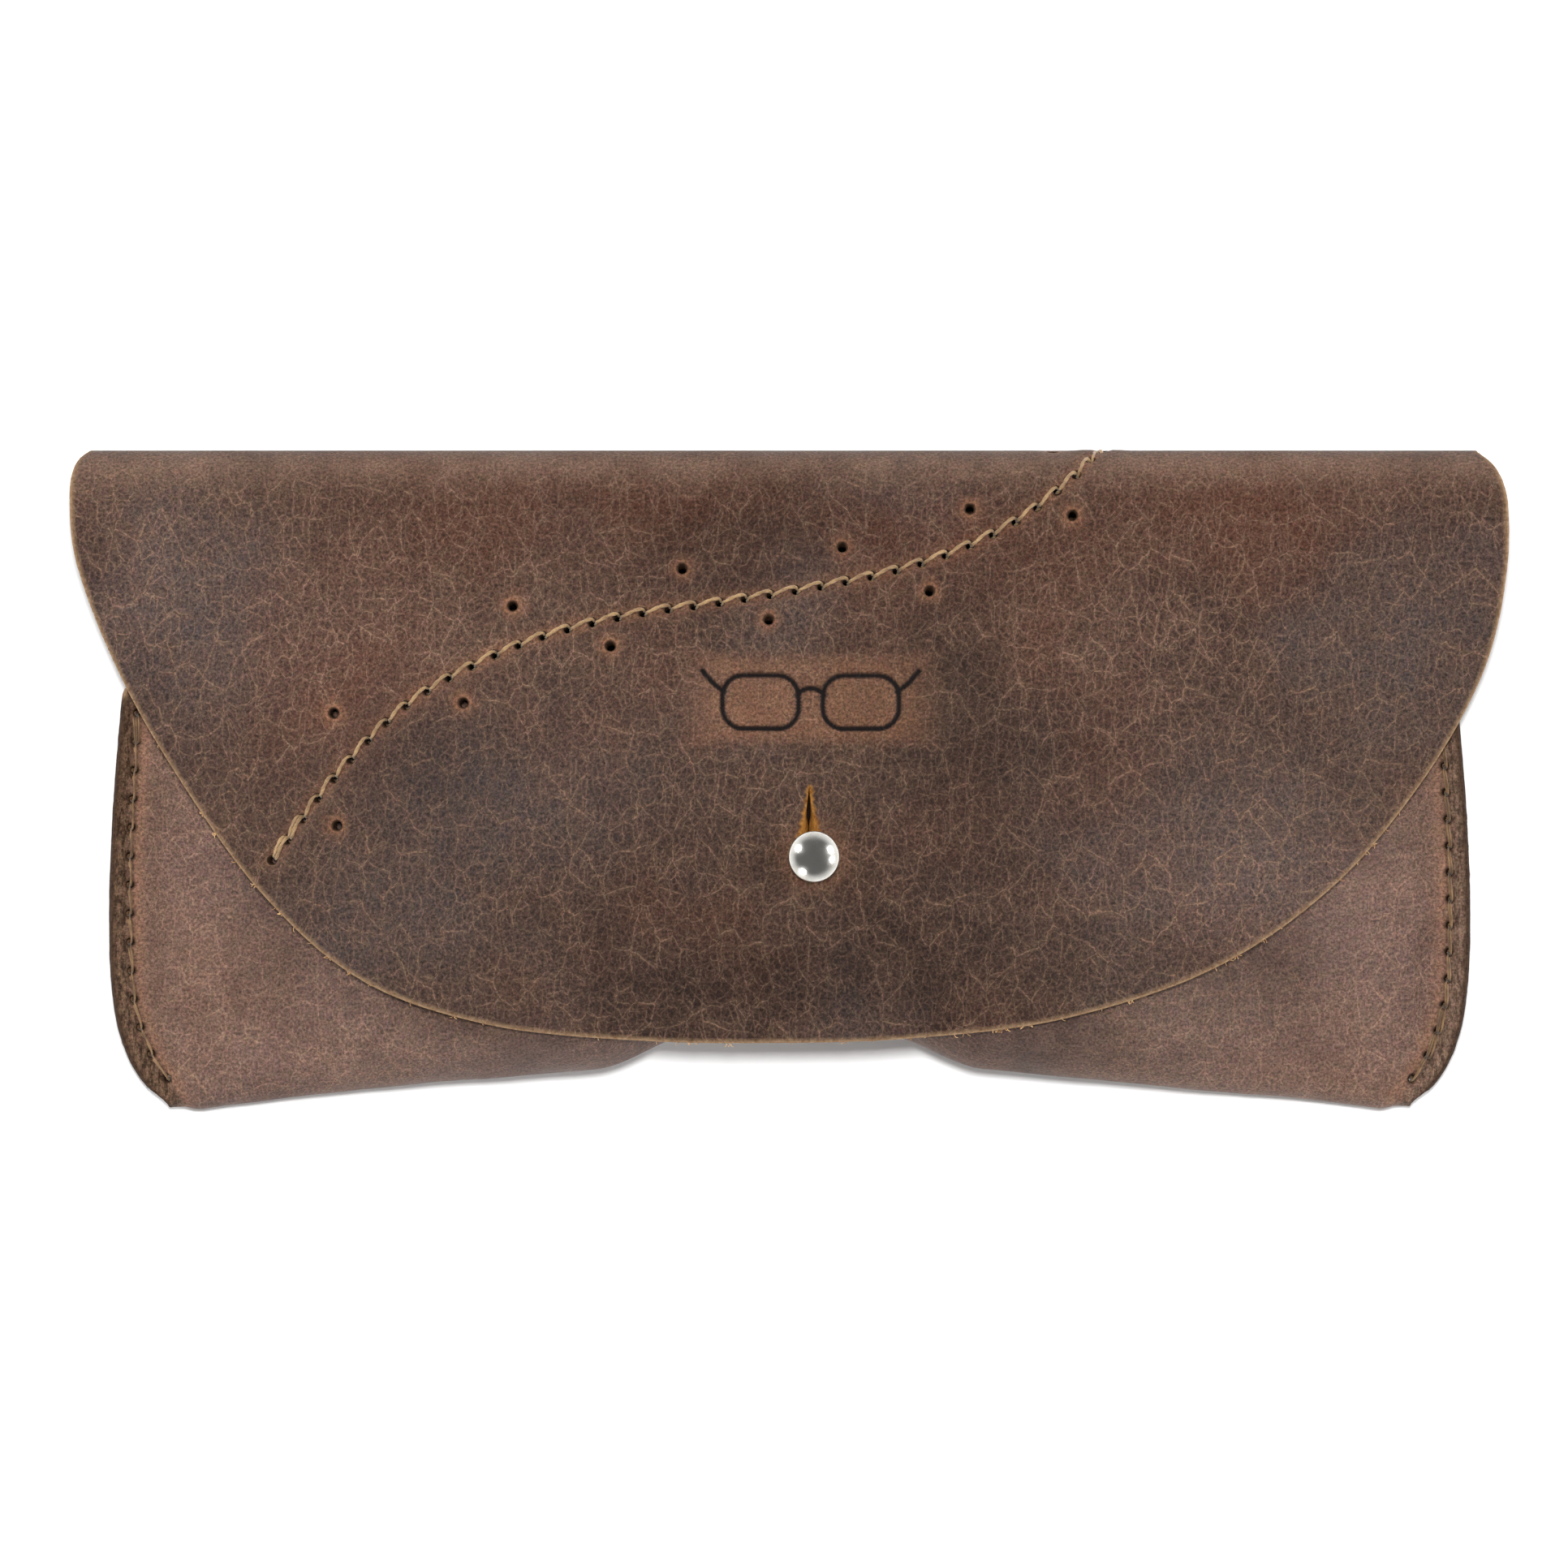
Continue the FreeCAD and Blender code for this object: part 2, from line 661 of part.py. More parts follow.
def build_stud_screw():
    """Slotted screw that holds the stud from inside the pouch."""
    body = new_body("stud_screw")
    sketch = new_sketch(body, "screw_section", "XZ_Plane")
    low = d.head_top - d.head_height
    high = d.head_top + d.shank_length
    corners = [
        (0.0, low), (d.flange_radius, low), (d.flange_radius, d.head_top),
        (d.shank_radius, d.head_top), (d.shank_radius, high), (0.0, high),
    ]
    for k, corner in enumerate(corners):
        sketch.addGeometry(segment(corner, corners[(k + 1) % len(corners)]), False)
    revolve(body, sketch, "screw_turned")
    slot = new_sketch(body, "slot_section", "XZ_Plane")
    half = d.slot_width / 2.0
    deep = low + d.slot_depth
    under = low - d.overcut
    sides = [(-half, under), (half, under), (half, deep), (-half, deep)]
    for k, side in enumerate(sides):
        slot.addGeometry(segment(side, sides[(k + 1) % 4]), False)
    pocket(body, slot, "screw_slot")
    place_on_stud_axis(body)
    return body


def revolve(body, sketch, name):
    """A full turn about the sketch's vertical axis."""
    feature = body.newObject("PartDesign::Revolution", name)
    feature.Profile = sketch
    feature.ReferenceAxis = (sketch, ["V_Axis"])
    feature.Angle = 360.0
    return feature


def place_on_stud_axis(body):
    body.setExpression("Placement.Base.x", "dims.stud_x")
    body.setExpression("Placement.Base.y", "dims.stud_y")


# Assembly, check and export

def build_all():
    left_places = stitch_places([(-x, y) for x, y in SEAM_LINE], d.left_pitch)
    right_places = stitch_places(SEAM_LINE, d.right_pitch)
    flap_end = d.fold_y - d.joint_gap - 2.0 * d.hole_radius
    decor_places = [p for p in stitch_places(DECOR_LINE, d.decor_pitch) if p[1] < flap_end]
    seam_holes = [(x, y, "hole_radius") for x, y in left_places + right_places]
    flap_holes = [(x, y, "hole_radius") for x, y in decor_places + PUNCHED_PLACES]
    spine_holes = [(d.spine_stitch_x, z, "hole_radius") for z in spine_stitch_heights()]
    return [
        build_bottom_fold(),
        build_back_panel(seam_holes),
        build_front_panel(seam_holes),
        build_lower_bend(),
        build_spine(spine_holes),
        build_upper_bend(),
        build_flap_panel(flap_holes),
        build_keyhole_lips(),
        build_seam_thread("left_seam_thread", left_places),
        build_seam_thread("right_seam_thread", right_places),
        build_decor_thread(decor_places),
        build_spine_thread(),
        build_closure_stud(),
        build_stud_screw(),
    ]


def check(pieces):
    """Stops if any object failed, or if a piece has no valid solid."""
    for item in document.Objects:
        if "Invalid" in item.State or "Error" in item.State:
            raise RuntimeError(f"{item.Name} failed: {item.State}")
    for piece in pieces:
        shape = piece.Shape
        if shape.isNull() or not shape.isValid() or not shape.Solids:
            raise RuntimeError(f"{piece.Label} has no valid solid")
        print(f"{piece.Label}: {len(shape.Solids)} solid(s), {shape.Volume:.1f} mm3")


pieces = build_all()
document.recompute()
check(pieces)
os.makedirs("parts", exist_ok=True)
for piece in pieces:
    piece.Shape.exportStep(f"parts/{piece.Label}.step")
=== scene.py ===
"""Soft leather glasses case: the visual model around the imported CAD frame."""

import math
import random
from types import SimpleNamespace

import bpy
import numpy as np
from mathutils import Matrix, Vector, kdtree, noise
from mathutils.geometry import delaunay_2d_cdt


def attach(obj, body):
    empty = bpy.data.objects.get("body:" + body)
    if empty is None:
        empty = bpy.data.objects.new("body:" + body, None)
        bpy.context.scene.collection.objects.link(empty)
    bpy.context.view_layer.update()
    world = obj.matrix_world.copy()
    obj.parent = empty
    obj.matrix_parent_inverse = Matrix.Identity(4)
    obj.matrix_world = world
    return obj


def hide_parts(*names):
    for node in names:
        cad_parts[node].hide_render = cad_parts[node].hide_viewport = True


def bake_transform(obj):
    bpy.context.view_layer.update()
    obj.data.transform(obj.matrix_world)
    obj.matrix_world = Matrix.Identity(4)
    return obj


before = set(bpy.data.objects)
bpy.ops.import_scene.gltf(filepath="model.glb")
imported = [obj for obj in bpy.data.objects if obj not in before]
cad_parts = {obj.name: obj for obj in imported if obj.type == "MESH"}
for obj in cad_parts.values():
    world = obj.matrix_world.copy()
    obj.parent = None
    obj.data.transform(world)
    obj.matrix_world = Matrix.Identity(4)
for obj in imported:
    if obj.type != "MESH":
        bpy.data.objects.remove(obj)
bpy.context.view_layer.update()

MM = 0.001
random.seed(7)

# Shape of the hide in millimetres, as the CAD source has it.
LEATHER = 2.0
FOLD_Y = 35.0
BEND = 5.5
SPINE_HEIGHT = 17.0
SPINE_LEFT = 86.9
SPINE_RIGHT = 85.4
SPINE_FLAT = SPINE_HEIGHT / 2.0 - BEND
BEND_ARC = BEND * math.pi / 2.0
TO_FLAT = SPINE_FLAT + BEND_ARC
MOUTH_Y = 11.3
CREST_Y = -14.0
MOUTH_DROP = 0.3
SEAM_SPACE = 0.4
FOLD_DEPTH = 14.0
FOLD_SOFTNESS = 20.0
FOLD_END = 78.0
BOTTOM_Y = -41.0
BOTTOM_SLOPE = 0.09
BOTTOM_END = 77.0
DENT = 3.3
DENT_INNER, DENT_OUTER = 12.0, 24.0
FLAT_HALF = 50.0
RISE_RUN, RISE = 34.2, 3.0
FLAP_RISE = 14.4
FLAP_FALL = 0.32
FLAP_SOFTNESS = 18.0
FLAP_CREST_Y = -8.0
FLAP_DROOP = 0.65
STUD = np.array([3.0, -9.8])
FAR = 1e9

SIDE_OUTLINE = [
    (84.8, 34.8), (83.4, 24.0), (82.2, 15.5), (82.7, 9.5), (83.8, -5.0), (84.2, -17.0),
    (83.9, -26.0), (82.9, -32.0), (80.7, -37.0), (76.8, -41.2), (74.0, -43.5),
]
SEAM_LINE = [
    (80.9, 8.0), (81.3, 0.0), (81.8, -10.0), (81.8, -20.0), (81.2, -28.5), (79.3, -34.2), (77.4, -37.4),
]
FLAP_OUTLINE = [
    (85.3, 40.4), (87.3, 38.7), (88.5, 36.0), (89.0, 32.0), (88.8, 25.0), (86.4, 14.0), (79.6, 1.0),
    (68.0, -13.0), (53.0, -23.5),
    (33.5, -30.0), (14.0, -32.4), (-2.0, -32.9), (-17.0, -32.7), (-37.5, -30.6), (-53.0, -25.2),
    (-65.0, -15.0), (-77.3, 2.2), (-84.5, 15.8), (-88.6, 27.5), (-89.1, 34.0),
    (-88.9, 37.6), (-88.2, 39.5), (-87.0, 40.4),
]
SEAM_ABOVE, SEAM_BELOW = (80.9, 40.0), (75.6, -40.2)
DECOR_LINE = [
    (-64.2, -10.3), (-56.3, 0.1), (-47.2, 9.1), (-38.4, 14.3), (-29.4, 17.9), (-20.1, 20.1),
    (-7.3, 21.9), (4.8, 23.9), (13.8, 25.9), (22.1, 28.7), (29.8, 32.9), (35.6, 37.6),
]


def ramp(value, low, high):
    """0 below low, 1 above high, and smooth between."""
    share = np.clip((np.asarray(value, float) - low) / (high - low), 0.0, 1.0)
    return share * share * (3.0 - 2.0 * share)


def rounded_distance(x, softness):
    return np.sqrt(x * x + softness * softness) - softness


def half_depth(x):
    """Outer radius of the bottom fold."""
    end = LEATHER + SEAM_SPACE / 2.0
    share = rounded_distance(np.abs(x), FOLD_SOFTNESS) / rounded_distance(FOLD_END, FOLD_SOFTNESS)
    return end + (FOLD_DEPTH - end) * np.maximum(1.0 - share, 0.0)


def bottom_y(x):
    """Lowest point of the bottom fold in plan view."""
    rise = BOTTOM_SLOPE * np.maximum(BOTTOM_END - np.abs(x), 0.0)
    return BOTTOM_Y + rise + DENT * (1.0 - ramp(np.abs(x), DENT_INNER, DENT_OUTER))


def back_rise(x):
    """Height of the back above the table."""
    radius = (RISE_RUN ** 2 + RISE ** 2) / (2.0 * RISE)
    past = np.maximum(np.abs(x) - FLAT_HALF, 0.0)
    return radius - np.sqrt(radius ** 2 - past ** 2)


def fold_line_y(x):
    return bottom_y(x) + half_depth(x)


def front_height(x, y):
    """Height of the front leaf's outer face."""
    thin = 2.0 * LEATHER + SEAM_SPACE
    toward_mouth = np.maximum(y - CREST_Y, 0.0) / (MOUTH_Y - CREST_Y)
    return back_rise(x) + thin + (2.0 * half_depth(x) - thin) * (1.0 - MOUTH_DROP * toward_mouth ** 2)


def flap_height(x, y):
    """Height of the flap's outer face."""
    rise = FLAP_RISE - FLAP_FALL * rounded_distance(np.abs(x), FLAP_SOFTNESS)
    along = np.maximum((FOLD_Y - y) / (FOLD_Y - FLAP_CREST_Y), 0.0)
    upper = 1.0 - (1.0 - np.minimum(along, 1.0) ** 1.3) ** 1.6
    lower = 1.0 - FLAP_DROOP * (along - 1.0) ** 2
    return SPINE_HEIGHT + rise * np.where(along < 1.0, upper, lower)


# The hide's own flat coordinates are x and h, the distance along the hide from the middle of the spine.
# It grows towards the flap's tip and falls towards the pouch's mouth.

def flap_place(x, h):
    """Places on the flap's outer face."""
    turn = np.clip((h - SPINE_FLAT) / BEND, 0.0, math.pi / 2.0)
    y = FOLD_Y + BEND * np.cos(turn) - np.maximum(h - TO_FLAT, 0.0)
    on_bend = SPINE_HEIGHT - BEND + BEND * np.sin(turn) + np.minimum(h - SPINE_FLAT, 0.0)
    z = np.where(h > TO_FLAT, flap_height(x, y), on_bend)
    return np.stack([x, y, z], axis=-1)


def flap_h(y):
    """Flat coordinate of a place on the flap or on its bend, from its y."""
    y = np.asarray(y, float)
    turn = np.arccos(np.clip((y - FOLD_Y) / BEND, 0.0, 1.0))
    return np.where(y < FOLD_Y, TO_FLAT + FOLD_Y - y, SPINE_FLAT + BEND * turn)


def pouch_place(x, h):
    """Places on the outer face of the pouch: spine, lower bend, back, bottom fold and front."""
    s = -h
    line, radius = fold_line_y(x), half_depth(x)
    back_end = TO_FLAT + FOLD_Y - line
    fold_end = back_end + math.pi * radius
    bend = np.clip((s - SPINE_FLAT) / BEND, 0.0, math.pi / 2.0)
    y_back = np.maximum(FOLD_Y - (s - TO_FLAT), line)
    rise = back_rise(x) * ramp(FOLD_Y - y_back, 0.0, 24.0)
    turn = np.clip((s - back_end) / radius, 0.0, math.pi)
    y_front = line + (s - fold_end)
    on_spine = SPINE_HEIGHT / 2.0 - s
    y = np.where(s < TO_FLAT, FOLD_Y + BEND * np.cos(bend), y_back - radius * np.sin(turn))
    z = np.where(s < SPINE_FLAT, on_spine, BEND - BEND * np.sin(bend))
    z = np.where(s >= TO_FLAT, rise + radius * (1.0 - np.cos(turn)), z)
    front = s > fold_end
    y = np.where(front, y_front, y)
    z = np.where(front, front_height(x, y_front), z)
    return np.stack([x, y, z], axis=-1)


def back_h(y):
    return -(TO_FLAT + FOLD_Y - np.asarray(y, float))


def front_h(x, y):
    line, radius = fold_line_y(x), half_depth(x)
    return -(TO_FLAT + FOLD_Y - line + math.pi * radius + y - line)


def on_front(points):
    """Flat places of plan points on the pouch's front."""
    return [(x, float(front_h(x, y))) for x, y in points]


def on_back(points):
    return [(x, float(back_h(y))) for x, y in points]


def normals_of(place, x, h):
    """Outward normals of a surface given in flat coordinates."""
    step = 0.05
    along_x = place(x + step, h) - place(x - step, h)
    along_h = place(x, h + step) - place(x, h - step)
    normal = np.cross(along_h, along_x)
    return normal / np.linalg.norm(normal, axis=1, keepdims=True)


# Curves and distances in the plane

def steps_of(path):
    return np.linalg.norm(np.diff(path, axis=0), axis=1)


def summed(steps):
    return np.concatenate([[0.0], np.cumsum(steps)])


def tangents(path):
    made = np.gradient(path, axis=0)
    return made / (np.linalg.norm(made, axis=1, keepdims=True) + 1e-12)


def along_line(a, b, start, end, t):
    """Points on the line through a at start and b at end."""
    return ((end - t) * a + (t - start) * b) / (end - start)


def smooth_path(points, step):
    """Points one step apart on a smooth curve through the given points."""
    p = np.array(points, float)
    p = np.vstack([2 * p[0] - p[1], p, 2 * p[-1] - p[-2]])
    knots = summed(np.sqrt(steps_of(p)))
    dense = []
    for k in range(1, len(p) - 2):
        t0, t1, t2, t3 = knots[k - 1:k + 3]
        t = np.linspace(t1, t2, 24, endpoint=False)[:, None]
        a1 = along_line(p[k - 1], p[k], t0, t1, t)
        a2 = along_line(p[k], p[k + 1], t1, t2, t)
        a3 = along_line(p[k + 1], p[k + 2], t2, t3, t)
        dense.append(along_line(along_line(a1, a2, t0, t2, t), along_line(a2, a3, t1, t3, t), t1, t2, t))
    return even_path(np.vstack(dense + [p[-2]]), step)


def even_path(path, step):
    """The same path with evenly spaced points."""
    run = summed(steps_of(path))
    count = max(int(round(run[-1] / step)), 1)
    at = np.linspace(0.0, run[-1], count + 1)
    return np.stack([np.interp(at, run, path[:, k]) for k in range(path.shape[1])], axis=-1)


def path_normals(path):
    """Unit normals on the left of a path."""
    along = tangents(path)
    return np.stack([-along[:, 1], along[:, 0]], axis=-1)


def distance_to_path(points, path):
    """Distance of each point to a path, and the side it is on: positive is left."""
    start, span = path[:-1], np.diff(path, axis=0)
    squared = (span ** 2).sum(1) + 1e-12
    best = np.full(len(points), FAR)
    side = np.ones(len(points))
    for a, d, q in zip(start, span, squared):
        share = np.clip(((points - a) @ d) / q, 0.0, 1.0)
        gap = points - a - share[:, None] * d
        length = np.sqrt((gap ** 2).sum(1))
        nearer = length < best
        best = np.where(nearer, length, best)
        turn = d[0] * gap[:, 1] - d[1] * gap[:, 0]
        side = np.where(nearer, np.where(turn >= 0.0, 1.0, -1.0), side)
    return best, side


def inside(points, loop):
    """Which points lie inside a closed loop."""
    result = np.zeros(len(points), bool)
    x, y = points[:, 0], points[:, 1]
    for (x1, y1), (x2, y2) in zip(loop, np.roll(loop, -1, axis=0)):
        crosses = (y1 > y) != (y2 > y)
        with np.errstate(divide="ignore", invalid="ignore"):
            at = x1 + (y - y1) * (x2 - x1) / (y2 - y1)
        result ^= crosses & (x < at)
    return result


def circle(centre, radius, count):
    angle = np.linspace(0.0, 2.0 * math.pi, count, endpoint=False)
    return np.array(centre) + radius * np.column_stack([np.cos(angle), np.sin(angle)])


def field(points, size, seed, octaves=3):
    """Smooth noise at points, about -1 to 1."""
    places = [Vector((x / size, y / size, seed)) for x, y in points]
    return np.array([noise.fractal(place, 1.0, 2.0, octaves) for place in places])


# Flat patterns. The mesh follows an edge at these insets, and is filled in these steps.

EDGE_INSETS = (0.13, 0.32, 0.75)
MARK_STEP, KEYHOLE_STEP, FLAP_STEP, POUCH_STEP = 0.24, 0.5, 0.95, 1.1


class Pattern:
    """The flat pattern of a piece of leather: where its mesh has points, and the lines it follows."""

    def __init__(self, edge, joined):
        """The cut edge, and the points between its ends on the line that joins the two pieces."""
        self.edge = edge
        self.joined = joined
        self.outline = np.vstack([edge, joined])
        self.cuts = []
        self.points = []
        self.lines = []
        self.add(self.outline, closed=True)
        inward = path_normals(edge)
        middle = len(edge) // 2
        if not inside(edge[middle:middle + 1] + 0.5 * inward[middle], self.outline)[0]:
            inward = -inward
        for inset in EDGE_INSETS:
            self.add(edge + inward * inset)

    def add(self, points, closed=False):
        """A line of points that the mesh follows."""
        first = len(self.points)
        self.points.extend(map(tuple, points))
        last = len(self.points) - 1
        self.lines.extend((k, k + 1) for k in range(first, last))
        if closed:
            self.lines.append((last, first))

    def scatter(self, points, gap):
        """Single points, left out where the mesh already has one within the gap."""
        tree = kdtree.KDTree(len(self.points))
        for k, p in enumerate(self.points):
            tree.insert((p[0], p[1], 0.0), k)
        tree.balance()
        points = np.asarray(points)
        points = points[inside(points, self.outline)]
        for cut in self.cuts:
            points = points[~inside(points, cut)]
        self.points.extend(tuple(p) for p in points if tree.find((p[0], p[1], 0.0))[2] > gap)

    def cut(self, loop, rings=()):
        """A hole, with rings of points round it."""
        self.cuts.append(loop)
        self.add(loop, closed=True)
        for ring in rings:
            self.add(ring, closed=True)

    def hole(self, centre, radius, count, reach=(0.14, 0.36, 0.7)):
        """A round hole, and the distances from it of the rings round it."""
        rings = [circle(centre, radius + r, count) for r in reach]
        self.cut(circle(centre, radius, count), rings)

    def fill(self, low, high, step):
        """An even field of points in a rectangle."""
        rows = np.arange(low[1], high[1], step * math.sqrt(0.75))
        made = []
        for k, row in enumerate(rows):
            xs = np.arange(low[0] + (k % 2) * step / 2.0, high[0], step)
            made.append(np.column_stack([xs, np.full(len(xs), row)]))
        self.scatter(np.vstack(made), 0.62 * step)

    def mesh(self):
        """Points and triangles of the flat pattern."""
        made = delaunay_2d_cdt([Vector(p) for p in self.points], self.lines, [], 0, 1e-6)
        points = np.array([tuple(p) for p in made[0]])
        triangles = np.array(made[2])
        middle = points[triangles].mean(axis=1)
        keep = inside(middle, self.outline)
        for cut in self.cuts:
            keep &= ~inside(middle, cut)
        triangles = triangles[keep]
        used = np.unique(triangles)
        renumber = np.full(len(points), -1)
        renumber[used] = np.arange(len(used))
        return points[used], renumber[triangles]


def open_edges(triangles):
    """Edges that belong to one triangle, in that triangle's direction."""
    edges = np.vstack([triangles[:, [0, 1]], triangles[:, [1, 2]], triangles[:, [2, 0]]])
    key = np.sort(edges, axis=1)
    _, first, count = np.unique(key, axis=0, return_index=True, return_counts=True)
    return edges[first[count == 1]]


def make_mesh(name, vertices, faces, attributes=None, vectors=None):
    """A smooth mesh object from millimetres, with float and vector attributes on its points."""
    mesh = bpy.data.meshes.new(name)
    mesh.from_pydata((np.asarray(vertices) * MM).tolist(), [], [list(map(int, f)) for f in faces])
    for key, values in (attributes or {}).items():
        mesh.attributes.new(key, "FLOAT", "POINT").data.foreach_set("value", np.asarray(values, np.float32))
    for key, values in (vectors or {}).items():
        flat = np.asarray(values, np.float32).ravel()
        mesh.attributes.new(key, "FLOAT_VECTOR", "POINT").data.foreach_set("vector", flat)
    mesh.polygons.foreach_set("use_smooth", [True] * len(mesh.polygons))
    mesh.validate()
    mesh.update()
    made = bpy.data.objects.new(name, mesh)
    bpy.context.scene.collection.objects.link(made)
    return made


# A face rounds off over ARRIS at a cut edge, and the wall between the faces has rows at these shares.

ARRIS = 0.32
WALL_LEVELS = (0.0, 0.22, 0.5, 0.78, 1.0)
WALLS = len(WALL_LEVELS) - 2


def distance_to_cuts(flat, cuts):
    """Distance to the nearest hole, for points near one."""
    best = np.full(len(flat), FAR)
    for cut in cuts:
        middle = cut.mean(axis=0)
        near = np.abs(flat - middle).max(axis=1) < np.abs(cut - middle).max() + 1.5
        if near.any():
            gap, _ = distance_to_path(flat[near], np.vstack([cut, cut[:1]]))
            best[near] = np.minimum(best[near], gap)
    return best


def arris_drop(nearest):
    """How far a face has rounded off at a distance from the cut edge."""
    left = np.sqrt(np.maximum(ARRIS ** 2 - (ARRIS - nearest) ** 2, 0.0))
    return np.where(nearest < ARRIS, ARRIS - left, 0.0)


def wall_rows(flat, rim, outer, inner, outward):
    """Rows of points down the cut edge, between the two faces and a little rough."""
    rough = field(flat[rim] * 3.0, 1.0, 4.0)
    rows = []
    for k, share in enumerate(WALL_LEVELS[1:-1]):
        bulge = 0.06 + 0.05 * rough * (1.0 if k % 2 else -1.0)
        rows.append(outer[rim] * (1.0 - share) + inner[rim] * share + outward * bulge[:, None])
    return rows


def leather_faces(triangles, edges, rim, count):
    """Faces of the two sides and of the wall between them."""
    rank = np.full(count, -1)
    rank[rim] = np.arange(len(rim))

    def at(level, corner):
        if level == 0:
            return corner
        if level > WALLS:
            return corner + count
        return 2 * count + (level - 1) * len(rim) + rank[corner]

    faces = [tuple(t) for t in triangles[:, ::-1]]
    faces += [tuple(t + count) for t in triangles]
    for level in range(WALLS + 1):
        faces += [(at(level, a), at(level, b), at(level + 1, b), at(level + 1, a)) for a, b in edges]
    return faces


def leather_piece(name, pattern, place, relief, masks, inner_shift=None):
    """A piece of leather with two faces and rounded cut edges, from its flat pattern."""
    flat, triangles = pattern.mesh()
    x, h = flat[:, 0], flat[:, 1]
    to_edge, _ = distance_to_path(flat, pattern.edge)
    to_cut = distance_to_cuts(flat, pattern.cuts)
    nearest = np.minimum(to_edge, to_cut * 2.0)
    drop, lift = arris_drop(nearest), relief(flat)
    base, normal = place(x, h), normals_of(place, x, h)
    outer = base + normal * (lift - drop)[:, None]
    inner = base - normal * (LEATHER - 0.6 * lift - 0.5 * drop)[:, None]
    if inner_shift is not None:
        inner = inner + inner_shift(flat)
    edges = open_edges(triangles)
    edges = edges[np.abs(flat[edges, 1]).max(axis=1) >= 1e-4]
    rim = np.unique(edges)
    outward = wall_outward(flat, triangles, rim, base, normal)
    vertices = np.vstack([outer, inner] + wall_rows(flat, rim, outer, inner, outward))
    count = len(flat)

    def spread(on_outer, on_inner, on_rim):
        return np.concatenate([on_outer, on_inner] + [on_rim] * WALLS)

    values = {key: spread(mask, mask, mask[rim]) for key, mask in masks(flat, to_edge, to_cut).items()}
    cut_mask = np.where(nearest < 0.42, 1.0 - ramp(nearest, 0.2, 0.42), 0.0)
    values["cut"] = spread(cut_mask, cut_mask, np.ones(len(rim)))
    values["flesh"] = spread(np.zeros(count), np.ones(count), np.full(len(rim), 0.5))
    on_leather = np.vstack([flat, flat] + [flat[rim]] * WALLS)
    depth = [np.zeros(count), np.full(count, LEATHER)]
    depth += [np.full(len(rim), LEATHER * share) for share in WALL_LEVELS[1:-1]]
    on_leather = np.column_stack([on_leather, -np.concatenate(depth)])
    faces = leather_faces(triangles, edges, rim, count)
    return make_mesh(name, vertices, faces, values, {"flat": on_leather * MM})


def wall_outward(flat, triangles, rim, base, normal):
    """Directions out of the leather at its rim, in space."""
    edges = open_edges(triangles)
    direction = np.zeros((len(flat), 3))
    for a, b in edges:
        along = base[b] - base[a]
        out = np.cross(along, normal[a])
        length = np.linalg.norm(out)
        if length > 1e-9:
            direction[a] += out / length
            direction[b] += out / length
    middle = base[triangles].mean(axis=1)
    sample = {}
    for t, m in zip(triangles, middle):
        for corner in t:
            sample[corner] = m
    made = np.array([direction[r] / (np.linalg.norm(direction[r]) + 1e-9) for r in rim])
    inward = np.array([sample[r] - base[r] for r in rim])
    flip = (made * inward).sum(axis=1) > 0.0
    made[flip] *= -1.0
    return made


# Where the stitches and holes are, in plan view, and the radii of the holes

LEFT_PITCH, RIGHT_PITCH, DECOR_PITCH = 3.58, 3.25, 3.17
SEAM_HOLE, DECOR_HOLE, PUNCHED_HOLE = 0.44, 0.5, 0.55
NECK_HOLE, KEYHOLE_EYE = 1.75, 2.0
LEFT_SEAM = smooth_path([(-x, y) for x, y in SEAM_LINE], 0.4)
RIGHT_SEAM = smooth_path(SEAM_LINE, 0.4)
LEFT_HOLES = even_path(LEFT_SEAM, LEFT_PITCH)
RIGHT_HOLES = even_path(RIGHT_SEAM, RIGHT_PITCH)
SEAM_HOLES = np.vstack([LEFT_HOLES, RIGHT_HOLES])


def decor_flat():
    """The decorative line in flat coordinates, carried on down the spine."""
    line = smooth_path(DECOR_LINE, 0.2)
    flat = np.column_stack([line[:, 0], flap_h(line[:, 1])])
    down = np.array([[37.4, 6.2], [38.6, 3.4], [39.0, 1.2], [39.0, 0.35]])
    return even_path(np.vstack([flat, down]), 0.3)


DECOR_FLAT = decor_flat()
DECOR_HOLES = even_path(DECOR_FLAT, DECOR_PITCH)


# The punched holes, in plan view, and one more on the bend in flat coordinates.
PUNCHED_PLAN = [
    (-56.4, 7.9), (-34.3, 21.2), (-13.3, 25.8), (6.5, 28.5), (22.3, 33.2),
    (-56.1, -6.0), (-40.4, 9.2), (-22.2, 16.3), (-2.6, 19.5), (17.3, 23.1), (35.0, 32.4),
]
PUNCHED = [(x, float(flap_h(y))) for x, y in PUNCHED_PLAN] + [(32.6, 3.8)]

# Keyhole of the flap. Down the slit: y, half width of the opening at the face, half width below it.
SLIT_X = 2.4
SLIT = [(-1.3, 0.04, 0.02), (-2.0, 0.12, 0.1), (-2.9, 0.24, 0.2), (-3.8, 0.38, 0.28), (-4.6, 0.55, 0.24),
        (-5.2, 0.7, 0.08), (-5.8, 0.86, 0.0), (-6.5, 1.04, 0.0), (-7.4, 1.25, 0.0)]


def keyhole_loop():
    """The keyhole in flat coordinates."""
    right = [(SLIT_X + half, flap_h(y)) for y, half, _ in SLIT]
    left = [(SLIT_X - half, flap_h(y)) for y, half, _ in SLIT]
    turn = np.radians(np.linspace(50.0, -230.0, 30))
    eye = STUD + KEYHOLE_EYE * np.column_stack([np.cos(turn), np.sin(turn)])
    eye = [(x, flap_h(y)) for x, y in eye]
    return np.array([(x, float(h)) for x, h in right + eye + left[::-1]])


KEYHOLE = keyhole_loop()


